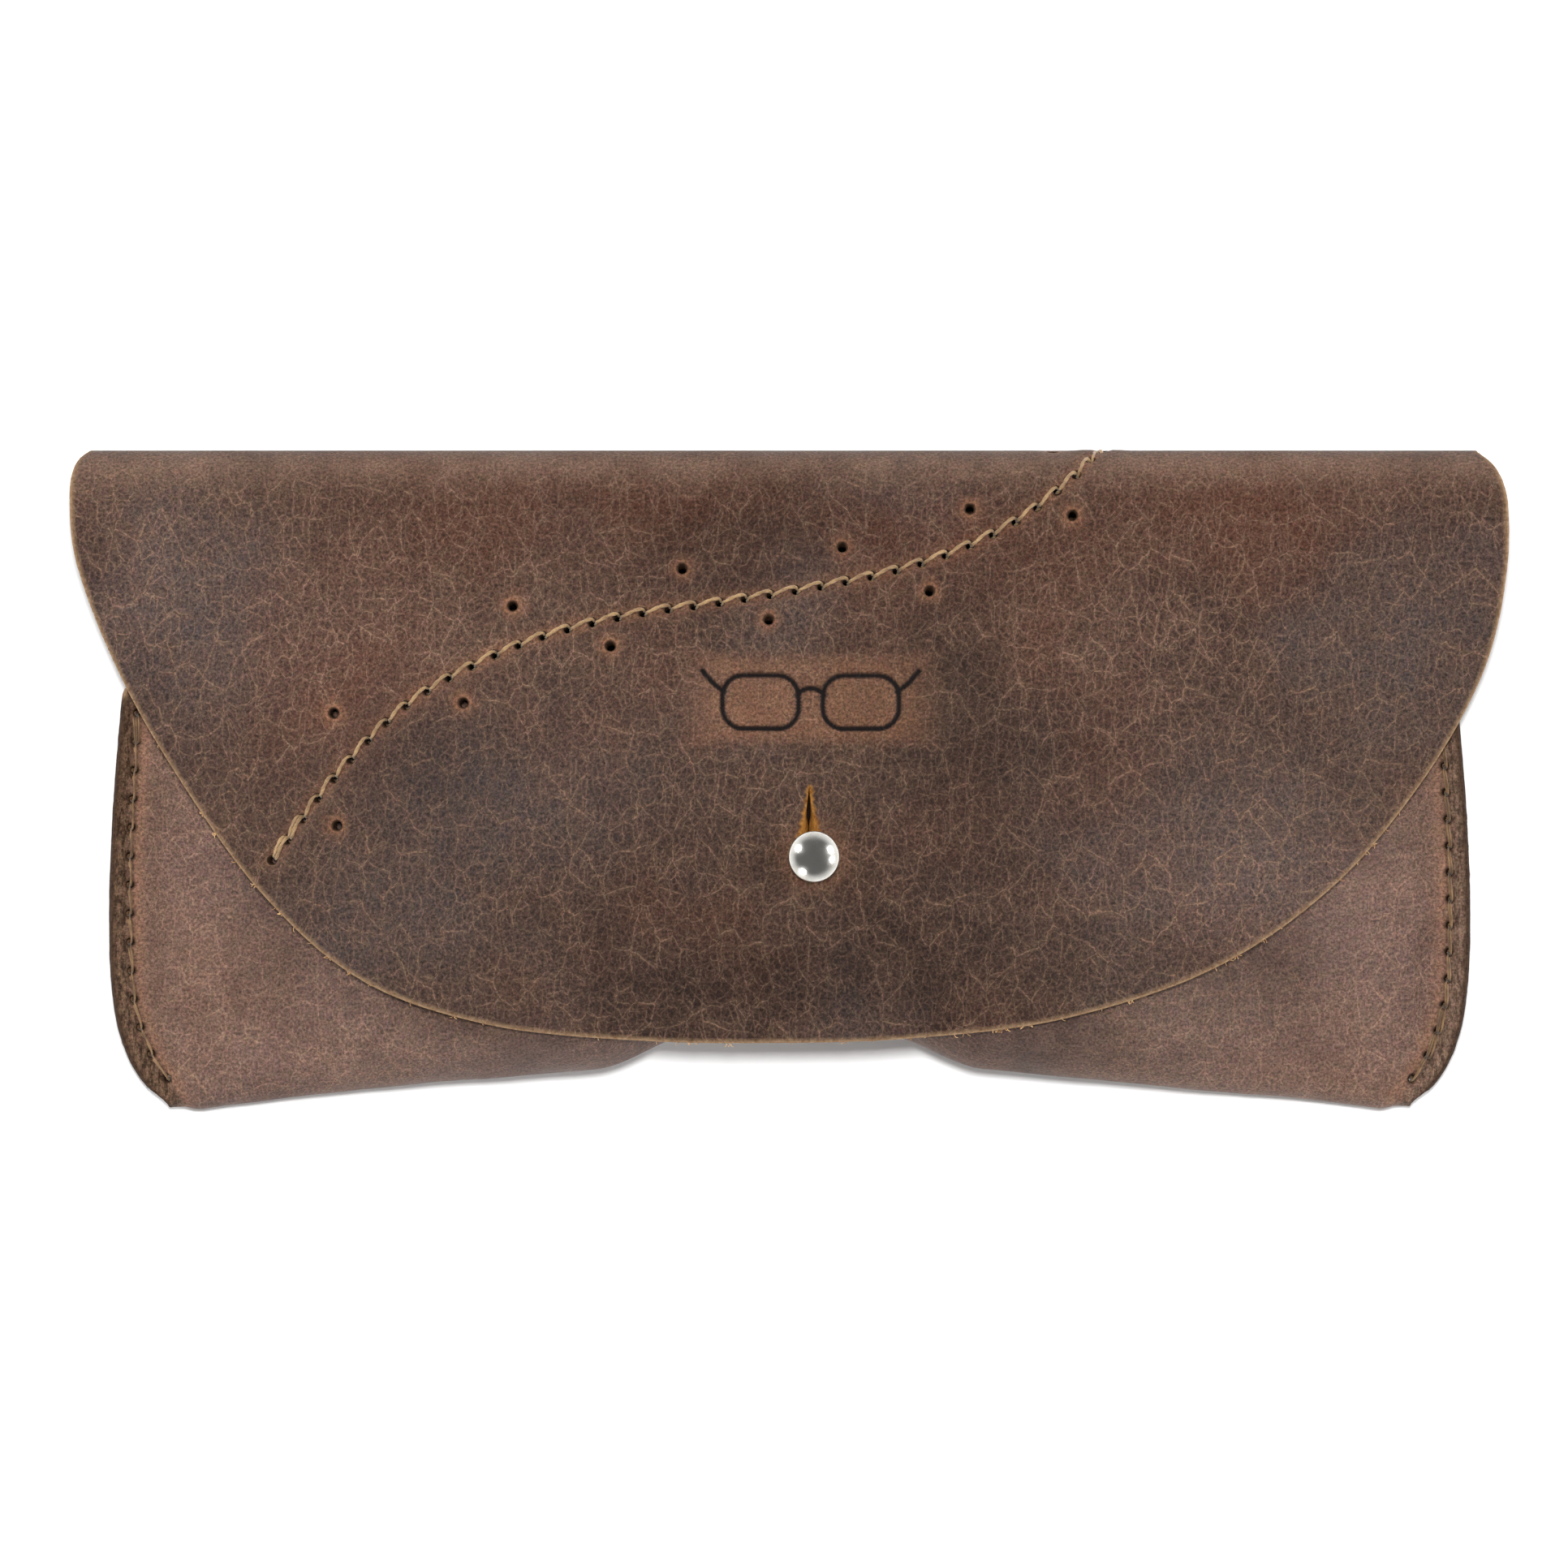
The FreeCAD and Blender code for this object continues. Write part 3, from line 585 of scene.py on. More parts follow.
def keyhole_shift(flat):
    """How far the underside leans in at the slit."""
    y = FOLD_Y + TO_FLAT - flat[:, 1]
    rows = np.array(SLIT)
    lean = np.interp(-y, -rows[:, 0], rows[:, 1] - rows[:, 2])
    gap, _ = distance_to_path(flat, np.vstack([KEYHOLE, KEYHOLE[:1]]))
    on_slit = (y > STUD[1] + 1.6) & (y < -1.2) & (gap < 0.02)
    shift = np.zeros((len(flat), 3))
    shift[:, 0] = np.where(on_slit, -np.sign(flat[:, 0] - SLIT_X) * lean, 0.0)
    return shift


# The pictogram: a pair of spectacles, drawn with lines of one width

MARK_CENTRE = np.array([2.6, 9.6])
MARK_REACH = 17.0


def lens_distance(points, centre, half, corner):
    """Distance to the rim of a rounded lens."""
    q = np.abs(points - centre) - (np.array(half) - corner)
    outside = np.sqrt((np.maximum(q, 0.0) ** 2).sum(1)) + np.minimum(q.max(axis=1), 0.0) - corner
    return np.abs(outside)


def pictogram_distance(points):
    """Distance of plan points to the lines of the pictogram."""
    local = points - MARK_CENTRE
    lenses = [lens_distance(local, np.array([x, -0.3]), (4.7, 3.3), 2.6) for x in (-6.2, 6.2)]
    best = np.minimum(*lenses)
    bridge = smooth_path([(-1.7, 0.6), (-0.8, 1.3), (0.8, 1.3), (1.7, 0.6)], 0.2)
    arms = [smooth_path([(s * 10.7, 1.0), (s * 12.0, 2.0), (s * 13.4, 3.6)], 0.2) for s in (-1.0, 1.0)]
    for line in [bridge] + arms:
        best = np.minimum(best, distance_to_path(local, line)[0])
    return best


def mark_distance(plan):
    """Distance to the pictogram, for plan points near it."""
    near = np.abs(plan - MARK_CENTRE).max(axis=1) < MARK_REACH
    best = np.full(len(plan), FAR)
    best[near] = pictogram_distance(plan[near])
    return best


# Shape of the flap's leather

def plan_of_flap(flat):
    """Plan coordinates of flat points on the flap, with y carried on over the bend."""
    return np.column_stack([flat[:, 0], FOLD_Y + TO_FLAT - flat[:, 1]])


def gaussian(distance, width):
    return np.exp(-(distance / width) ** 2)


def hole_distance(flat, holes):
    best = np.full(len(flat), FAR)
    for hole in holes:
        best = np.minimum(best, np.hypot(flat[:, 0] - hole[0], flat[:, 1] - hole[1]))
    return best


def flap_relief(flat):
    """Small rises and dips of the flap."""
    plan = plan_of_flap(flat)
    calm = ramp(flat[:, 1], 2.5, 14.0)
    lift = (0.3 * field(plan, 26.0, 1.0) + 0.07 * field(plan, 6.0, 2.0)) * calm
    line, _ = distance_to_path(flat, DECOR_FLAT)
    lift -= 0.2 * gaussian(line, 0.8) - 0.1 * gaussian(line - 1.7, 1.0)
    lift -= 0.22 * gaussian(hole_distance(flat, DECOR_HOLES), 0.75)
    lift -= 0.2 * gaussian(hole_distance(flat, PUNCHED), 1.1)
    stud = hole_distance(plan, [STUD])
    lift += -0.75 * gaussian(stud, 4.2) + 0.35 * gaussian(stud - 8.5, 3.0)
    return lift - 0.2 * (1.0 - ramp(mark_distance(plan), 0.2, 0.5))


def patches(points, places):
    """Soft patches, each given as (x, y, half width, half height), with edges broken by noise."""
    moved = points + 5.0 * np.column_stack([field(points, 11.0, 21.0), field(points, 11.0, 22.0)])
    total = np.zeros(len(points))
    for x, y, wide, high in places:
        total = np.maximum(total, np.exp(-((moved[:, 0] - x) / wide) ** 2 - ((moved[:, 1] - y) / high) ** 2))
    return total


# Patches of each mask. The deep ones are painted shade and the pale ones painted highlight, each with some
# darker or paler tone of the leather too; the grey ones are wax bloom with painted sheen; the ruddy ones are
# the leather's redder tone.
FLAP_PATCHES = {
    "ruddy": [(-22, 33, 34, 8), (14, 30, 16, 10), (58, 33, 22, 9), (-55, 8, 14, 10)],
    "dusty": [(-76, 22, 14, 18), (58, -10, 20, 12), (-38, -2, 18, 10), (76, 18, 9, 14)],
    "deep": [(24, 6, 13, 20), (4, -24, 34, 8), (-44, 2, 12, 8), (-8, 30, 20, 7)],
    "pale": [(-80, 28, 10, 14), (-52, 18, 26, 12), (56, -14, 16, 8), (40, 16, 14, 10)],
}
POUCH_PATCHES = {
    "ruddy": [(-72, -24, 12, 10), (-30, -38, 22, 5), (76, 0, 5, 10), (66, -35, 12, 6)],
    "dusty": [(-60, -10, 12, 9), (66, -16, 9, 14), (44, -30, 20, 7), (-40, -36, 18, 5)],
    "deep": [(-58, -14, 9, 7), (-36, -28, 20, 5), (30, -33, 16, 5), (58, -24, 10, 6)],
    "pale": [(-76, -12, 6, 20), (-62, -34, 18, 6), (72, -20, 9, 18), (52, -38, 24, 5)],
}


def flap_masks(flat, to_edge, to_cut):
    """Where the flap's leather is stretched, marked or has wear, and where highlight and shade are painted
    on it.
    """
    plan = plan_of_flap(flat)
    line, _ = distance_to_path(flat, DECOR_FLAT)
    punched = hole_distance(flat, PUNCHED)
    from_mark = (np.abs(plan - MARK_CENTRE) / np.array([14.0, 5.2])).max(axis=1)
    patchy = 0.5 + 0.5 * field(plan, 5.0, 8.0)
    halo = gaussian(np.maximum(punched - 0.7, 0.0), 0.5)
    halo = np.maximum(halo, (0.35 + 0.4 * patchy) * gaussian(line, 0.95))
    halo = np.maximum(halo, 0.75 * (1.0 - ramp(from_mark, 0.75, 1.25)) * (0.5 + 0.5 * patchy))
    stud = hole_distance(plan, [STUD])
    halo = np.maximum(halo, 0.35 * gaussian(np.maximum(stud - 3.0, 0.0), 1.6))
    # Paler band along the top fold: pull-up where the leather stretches over it, and a painted highlight.
    fold = gaussian(flat[:, 1] - (SPINE_FLAT + 0.5 * BEND_ARC), 3.0)
    made = {
        "halo": halo,
        "mark": 1.0 - ramp(mark_distance(plan), 0.22, 0.44),
        "seam": np.zeros(len(flat)),
        "grain": np.ones(len(flat)),
        "worn": fold * 0.8,
        # Dark colour on the walls of the punched and stitch holes: painted shade inside the holes.
        "burnish": np.where((punched < 0.9) | (line < 0.7), 1.0, 0.0),
        "fresh": np.where((to_cut < to_edge) & (stud < 10.0), 1.0, 0.0),
    }
    made.update((key, patches(plan, places)) for key, places in FLAP_PATCHES.items())
    return made


def flap_edge():
    """The flap's cut edge in flat coordinates, from the right end of the spine round to the left."""
    plan = smooth_path(FLAP_OUTLINE, 0.7)
    flat = np.column_stack([plan[:, 0], flap_h(plan[:, 1])])
    start = np.array([[SPINE_RIGHT, 0.0], [SPINE_RIGHT, 2.0]])
    end = np.array([[-SPINE_LEFT, 2.0], [-SPINE_LEFT, 0.0]])
    return even_path(np.vstack([start, flat, end]), 0.7)


def joined_line():
    """Points of the middle of the spine, where the two pieces of the hide meet, left to right."""
    xs = np.linspace(-SPINE_LEFT, SPINE_RIGHT, 160)[1:-1]
    return np.column_stack([xs, np.zeros(len(xs))])


def rails(path, offsets, step):
    """Points beside a path, at fixed distances."""
    even = even_path(path, step)
    normal = path_normals(even)
    return np.vstack([even + normal * offset for offset in offsets])


def build_flap():
    pattern = Pattern(flap_edge(), joined_line())
    pattern.cut(KEYHOLE)
    for hole in DECOR_HOLES:
        pattern.hole(hole, DECOR_HOLE, 14, (0.12, 0.3))
    for hole in PUNCHED:
        pattern.hole(hole, PUNCHED_HOLE, 18, (0.1, 0.3, 0.65))
    pattern.scatter(rails(DECOR_FLAT, (-1.4, -0.9, 0.9, 1.4), 0.7), 0.3)
    # finest under the pictogram, fine round the keyhole, then the rest
    low = float(flap_h(15.4))
    pattern.fill((-12.0, low), (17.2, low + 11.6), MARK_STEP)
    top = float(flap_h(-0.5))
    pattern.fill((-5.0, top), (11.0, top + 18.0), KEYHOLE_STEP)
    pattern.fill((-90.0, 0.0), (90.0, 80.0), FLAP_STEP)
    flap = leather_piece("hide_flap", pattern, flap_place, flap_relief, flap_masks, keyhole_shift)
    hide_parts("flap_panel", "upper_bend", "keyhole_lips", "spine")
    return flap


# Shape of the pouch's leather

def pouch_side():
    """The sides of the back and of the front in flat coordinates, from the fold at the top on the right."""
    side = smooth_path(SIDE_OUTLINE, 0.35)
    side = side[side[:, 1] > bottom_y(side[:, 0]) + 0.02]
    x, y = side[:, 0], side[:, 1]
    line, radius = fold_line_y(x), half_depth(x)
    turn = np.arcsin(np.clip((line - y) / radius, 0.0, 1.0))
    back_end = TO_FLAT + FOLD_Y - line
    back = np.where(y > line, TO_FLAT + FOLD_Y - y, back_end + radius * turn)
    on_leaf = back_end + math.pi * radius + y - line
    front = np.where(y > line, on_leaf, back_end + radius * (math.pi - turn))
    up = np.column_stack([x, -front])[::-1]
    return np.column_stack([x, -back]), up[y[::-1] < MOUTH_Y - 1.6]


def pouch_edge():
    """The pouch's cut edge in flat coordinates, from the right end of the spine round to the left."""
    down, up = pouch_side()
    mouth_h = float(front_h(82.5, MOUTH_Y))
    corner = np.array([[82.6, mouth_h + 1.0], [82.3, mouth_h + 0.35], [81.7, mouth_h + 0.05]])
    xs = np.linspace(81.0, -81.0, 140)
    mouth = np.column_stack([xs, front_h(xs, np.full(len(xs), MOUTH_Y))])
    starts = [np.array([[end, 0.0], [end, -TO_FLAT + 1.0]]) for end in (SPINE_RIGHT, SPINE_LEFT)]
    right, left = (even_path(np.vstack([start, down, up, corner]), 0.7) for start in starts)
    return np.vstack([right, mouth, left[::-1] * np.array([-1.0, 1.0])])


def seam_distance(flat):
    """Distance in plan to the nearer seam, carried on at both ends, positive outside it. And the places."""
    place = pouch_place(flat[:, 0], flat[:, 1])
    plan = np.column_stack([np.abs(place[:, 0]), place[:, 1]])
    longer = np.vstack([[SEAM_ABOVE], RIGHT_SEAM, [SEAM_BELOW]])
    gap, side = distance_to_path(plan, longer)
    return gap * side, place


def pouch_relief(flat):
    """Small rises and dips of the pouch."""
    calm = ramp(-flat[:, 1], 2.5, 14.0)
    lift = (0.35 * field(flat, 30.0, 11.0) + 0.08 * field(flat, 7.0, 12.0)) * calm
    gap, place = seam_distance(flat)
    stitched = ramp(-place[:, 1], -12.0, -6.0)
    puff = 0.75 * ramp(-gap, 0.2, 2.6) * np.exp(-np.maximum(-gap, 0.0) / 9.0)
    lift += stitched * (puff - 0.3 * gaussian(gap, 0.7) - 0.1 * ramp(gap, 0.0, 1.0))
    holes = hole_distance(flat, on_front(SEAM_HOLES) + on_back(SEAM_HOLES))
    return lift - 0.25 * gaussian(holes, 0.8)


def pouch_masks(flat, *_):
    """Where the pouch's leather is stretched, marked or has wear, and where highlight and shade are painted
    on it.
    """
    gap, place = seam_distance(flat)
    stitched = ramp(-place[:, 1], -12.0, -8.0)
    strip = ramp(gap + 0.25 * field(place[:, :2], 1.3, 5.0), -0.1, 0.25) * stitched
    halo = 0.55 * gaussian(gap + 0.7, 0.9) * stitched
    # Paler band along the lower bend: pull-up where the leather stretches over it, and a painted highlight.
    fold = gaussian(-flat[:, 1] - (SPINE_FLAT + 0.5 * BEND_ARC), 3.0)
    # Near-black patch on the front under the flap's slit: painted shadow, so the gap in the slit reads dark.
    under_slit = np.hypot((flat[:, 0] - SLIT_X) / 1.6, flat[:, 1] - front_h(SLIT_X, -4.0))
    made = {
        "halo": halo,
        "mark": 0.95 * (1.0 - ramp(under_slit, 2.6, 4.0)),
        "seam": strip,
        "grain": 0.42 + 0.58 * ramp(flat[:, 1], -60.0, -14.0),
        "worn": fold * 0.8,
        # Dark colour on the cut edges and stitch holes along the seams: dressed edges, and painted shade
        # inside the holes.
        "burnish": ramp(stitched, 0.2, 0.8),
        "fresh": np.zeros(len(flat)),
    }
    made.update((key, patches(place[:, :2], places)) for key, places in POUCH_PATCHES.items())
    made["pale"] *= 1.0 - strip
    return made


def build_pouch():
    pattern = Pattern(pouch_edge(), joined_line())
    for pair in zip(on_front(SEAM_HOLES), on_back(SEAM_HOLES)):
        for hole in pair:
            pattern.hole(hole, SEAM_HOLE, 12, (0.14, 0.4))
    pattern.hole(on_front([STUD])[0], NECK_HOLE, 24)
    for seam in (LEFT_SEAM, RIGHT_SEAM):
        for x_h in (front_h(seam[:, 0], seam[:, 1]), back_h(seam[:, 1])):
            path = np.column_stack([seam[:, 0], x_h])
            pattern.scatter(rails(path, (-2.2, -1.5, -0.9, 0.9, 1.5), 0.6), 0.3)
    pattern.fill((-90.0, -140.0), (90.0, 0.0), POUCH_STEP)
    pouch = leather_piece("hide_pouch", pattern, pouch_place, pouch_relief, pouch_masks)
    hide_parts("front_panel", "bottom_fold", "back_panel", "lower_bend")
    return pouch


# Threads. A twist is the radius of a ply, its distance from the middle, and the length of a full turn.

DECOR_TWIST = (0.17, 0.07, 2.4)
SEAM_TWIST = (0.12, 0.14, 16.0)
PLY_SIDES = 8
STITCH_POINTS = 26
DOUBLE_SHIFT = 0.22


def ring_faces(rings, sides):
    """Faces between rings of points, and the flat ends."""
    faces = []
    for low in range(0, (rings - 1) * sides, sides):
        for j in range(sides):
            n = (j + 1) % sides
            faces.append((low + j, low + n, low + sides + n, low + sides + j))
    faces.append(tuple(range(sides))[::-1])
    faces.append(tuple((rings - 1) * sides + j for j in range(sides)))
    return faces


def tube(path, radius, sides):
    """Points and faces of a closed tube along a path."""
    angle = np.linspace(0.0, 2.0 * math.pi, sides, endpoint=False)
    cos, sin = np.cos(angle)[:, None], np.sin(angle)[:, None]
    rings = [p + radius * (cos * u + sin * v) for p, (u, v) in zip(path, carried_frames(path))]
    return np.vstack(rings), ring_faces(len(path), sides)


def carried_frames(path):
    """Two directions across a path at each point, turning as little as possible along it."""
    along = tangents(path)
    first = np.cross(along[0], [0.0, 0.0, 1.0])
    if np.linalg.norm(first) < 1e-6:
        first = np.array([1.0, 0.0, 0.0])
    u = first / np.linalg.norm(first)
    made = []
    for t in along:
        u = u - t * (u @ t)
        u = u / (np.linalg.norm(u) + 1e-12)
        made.append((u, np.cross(t, u)))
    return made


def twisted(path, offset, pitch, phase):
    """Two plies wound round a path."""
    frames = carried_frames(path)
    made = []
    for ply in (0.0, math.pi):
        turn = 2.0 * math.pi * summed(steps_of(path)) / pitch + phase + ply
        away = np.array([math.cos(a) * u + math.sin(a) * v for a, (u, v) in zip(turn, frames)])
        made.append(path + offset * away)
    return made


def curve_through(points, count):
    """A smooth path in space through a few points."""
    p = np.array(points, float)
    run = summed(steps_of(p))
    slope = np.gradient(p, run, axis=0)
    made = []
    for t in np.linspace(0.0, run[-1], count):
        k = min(np.searchsorted(run, t, side="right") - 1, len(p) - 2)
        width = run[k + 1] - run[k]
        s = (t - run[k]) / width
        h00, h10 = 2 * s ** 3 - 3 * s ** 2 + 1, s ** 3 - 2 * s ** 2 + s
        h01, h11 = -2 * s ** 3 + 3 * s ** 2, s ** 3 - s ** 2
        made.append(h00 * p[k] + h10 * width * slope[k] + h01 * p[k + 1] + h11 * width * slope[k + 1])
    return np.array(made)


class Strands:
    """Tubes gathered into one mesh."""

    def __init__(self):
        self.vertices, self.faces, self.count = [], [], 0

    def strand(self, path, radius, sides):
        vertices, faces = tube(path, radius, sides)
        self.faces += [tuple(k + self.count for k in face) for face in faces]
        self.vertices.append(vertices)
        self.count += len(vertices)

    def mesh(self, name, slot):
        made = make_mesh(name, np.vstack(self.vertices), self.faces)
        return made


class Thread(Strands):
    """Stitches of two plies each."""

    def __init__(self, twist):
        super().__init__()
        self.radius, self.offset, self.pitch = twist

    def add(self, path, phase):
        for ply in twisted(path, self.offset, self.pitch, phase):
            self.strand(ply, self.radius, PLY_SIDES)

    def stitch(self, start, end, start_normal, end_normal, slant, aside):
        """One stitch between two holes, from inside the first to inside the second."""
        length = np.linalg.norm(end - start)
        along = (end - start) / length
        up = (start_normal + end_normal) / 2.0
        across = np.cross(up, along)
        across /= np.linalg.norm(across)
        a_side, b_side = aside - slant, aside + slant
        height = 0.24 + 0.05 * random.random()
        points = [
            start - start_normal * 1.0 + along * 0.3,
            start - start_normal * 0.3 + along * 0.42 + across * a_side * 0.7,
            start + start_normal * height * 0.8 + along * 0.76 + across * a_side,
            start + along * length * 0.5 + up * (height + 0.1) + across * aside,
            end + end_normal * height * 0.9 - along * 0.5 + across * b_side,
            end + end_normal * 0.05 - along * 0.02 + across * b_side,
            end - end_normal * 0.5 + along * 0.24 + across * b_side * 0.7,
        ]
        self.add(curve_through(points, STITCH_POINTS), random.uniform(-0.4, 0.4))


def surface(place, relief, flat, sink):
    """Points and normals of leather faces at flat places: the outer face, or sunk to the inner one."""
    flat = np.asarray(flat, float)
    normal = normals_of(place, flat[:, 0], flat[:, 1])
    lift = relief(flat) * (1.0 if sink == 0.0 else 0.6) - sink
    return place(flat[:, 0], flat[:, 1]) + normal * lift[:, None], normal


def sew(thread, points, normals, outward, slant, aside, doubled=()):
    """A row of stitches over neighbouring holes, some of them doubled."""
    for k in range(len(points) - 1):
        shifts = (-DOUBLE_SHIFT, DOUBLE_SHIFT) if k in doubled else (0.0,)
        ends = (points[k], points[k + 1], normals[k] * outward, normals[k + 1] * outward)
        for shift in shifts:
            thread.stitch(*ends, slant, aside + shift)


def build_decor_thread():
    thread = Thread(DECOR_TWIST)
    top, normals = surface(flap_place, flap_relief, DECOR_HOLES, 0.0)
    sew(thread, top, normals, 1.0, 0.25, 0.22, doubled=(0, 1))
    low, normals = surface(flap_place, flap_relief, DECOR_HOLES, LEATHER)
    sew(thread, low, normals, -1.0, 0.15, 0.0)
    made = thread.mesh("decor_stitching", "thread")
    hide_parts("decorative_thread", "spine_thread")
    return made


def build_seam_thread(name, holes, node, aside, doubled):
    """Stitches on the front and on the back, and the thread in the holes between them."""
    thread = Thread(SEAM_TWIST)
    rows = []
    for flat in (on_front(holes), on_back(holes)):
        points, normals = surface(pouch_place, pouch_relief, flat, 0.0)
        sew(thread, points, normals, 1.0, 0.12, aside, doubled)
        rows.append(points)
    for top, bottom in zip(*rows):
        depth = (bottom - top) / np.linalg.norm(bottom - top)
        thread.add(np.linspace(top + 0.5 * depth, bottom - 0.5 * depth, 4), 0.0)
    made = thread.mesh(name, "thread")
    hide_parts(node)
    return made


# Loose fibres of the flap's raw edge

FIBRE_CLUMPS = 60
FIBRE_EDGE_H = 40.0


def fibre_path(flat, beyond):
    """A curled fibre that stands out of the edge at a flat place, towards another one."""
    base = flap_place(flat[:1], flat[1:])[0]
    up = normals_of(flap_place, flat[:1], flat[1:])[0]
    out = flap_place(beyond[:1], beyond[1:])[0] - base
    out = out / np.linalg.norm(out)
    side = np.cross(up, out)
    reach = random.uniform(0.12, 0.5)
    bend = random.uniform(-0.35, 0.35)
    lift = random.uniform(-0.2, 0.5)
    start = base - up * random.uniform(0.3, 1.2) - out * 0.05
    return curve_through([
        start,
        start + out * reach * 0.5 + side * bend * 0.25,
        start + out * reach * 0.9 + side * bend * 0.8 + up * lift * 0.5,
        start + out * reach + side * bend * 1.3 + up * lift,
    ], 7)


def build_fibres():
    """Short curled fibres along the flap's cut edge."""
    edge = flap_edge()
    edge = edge[edge[:, 1] > FIBRE_EDGE_H]
    outward = -path_normals(edge)
    fibres = Strands()
    for _ in range(FIBRE_CLUMPS):
        at = random.randrange(4, len(edge) - 4)
        for _ in range(random.choice((1, 1, 2, 4))):
            flat = edge[at] + random.uniform(-0.5, 0.5) * (edge[at + 1] - edge[at])
            path = fibre_path(flat, flat + 0.1 * outward[at])
            fibres.strand(path, random.uniform(0.03, 0.07), 5)
    return fibres.mesh("edge_fibres", "hide")


# Metal

def lathe(name, profile, centre, sides):
    """A turned piece from its profile of radius and height, bottom to top."""
    rings = [np.column_stack([circle(centre, radius, sides), np.full(sides, z)]) for radius, z in profile]
    return make_mesh(name, np.vstack(rings), ring_faces(len(rings), sides))


def arc(centre, radius, start, end, count):
    """Points of a profile's arc, in degrees."""
    angle = np.radians(np.linspace(start, end, count))
    return [(centre[0] + radius * math.cos(a), centre[1] + radius * math.sin(a)) for a in angle]


def build_stud():
    """Domed head, neck and flange, turned in one piece and polished."""
    base, widest, head, neck = 28.05, 34.1, 3.15, 1.6
    dome, top, rim = 4.1, 37.25, 0.5
    join = math.degrees(math.asin((neck + 0.12) / head))
    rise = math.sqrt((dome - rim) ** 2 - (head - rim) ** 2)
    turn = math.degrees(math.atan2(rise, head - rim))
    profile = [(3.7, base)]
    profile += arc((3.8, base + 0.2), 0.2, -90.0, 0.0, 5)
    profile += arc((3.75, base + 0.55), 0.25, 0.0, 90.0, 6)
    profile += arc((neck + 0.5, base + 1.3), 0.5, 270.0, 180.0, 7)
    profile += arc((0.0, widest), head, -90.0 + join, 0.0, 30)
    profile += arc((head - rim, top - dome + rise), rim, 0.0, turn, 10)[:-1]
    profile += arc((0.0, top - dome), dome, turn, 89.5, 30)
    stud = lathe("ball_stud", profile, STUD, 96)
    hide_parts("closure_stud")
    return stud


# Materials

def srgb(red, green, blue):
    """A colour from 0 to 255 values as the screen shows it."""
    made = []
    for value in (red, green, blue):
        c = value / 255.0
        made.append(c / 12.92 if c <= 0.04045 else ((c + 0.055) / 1.055) ** 2.4)
    return (*made, 1.0)


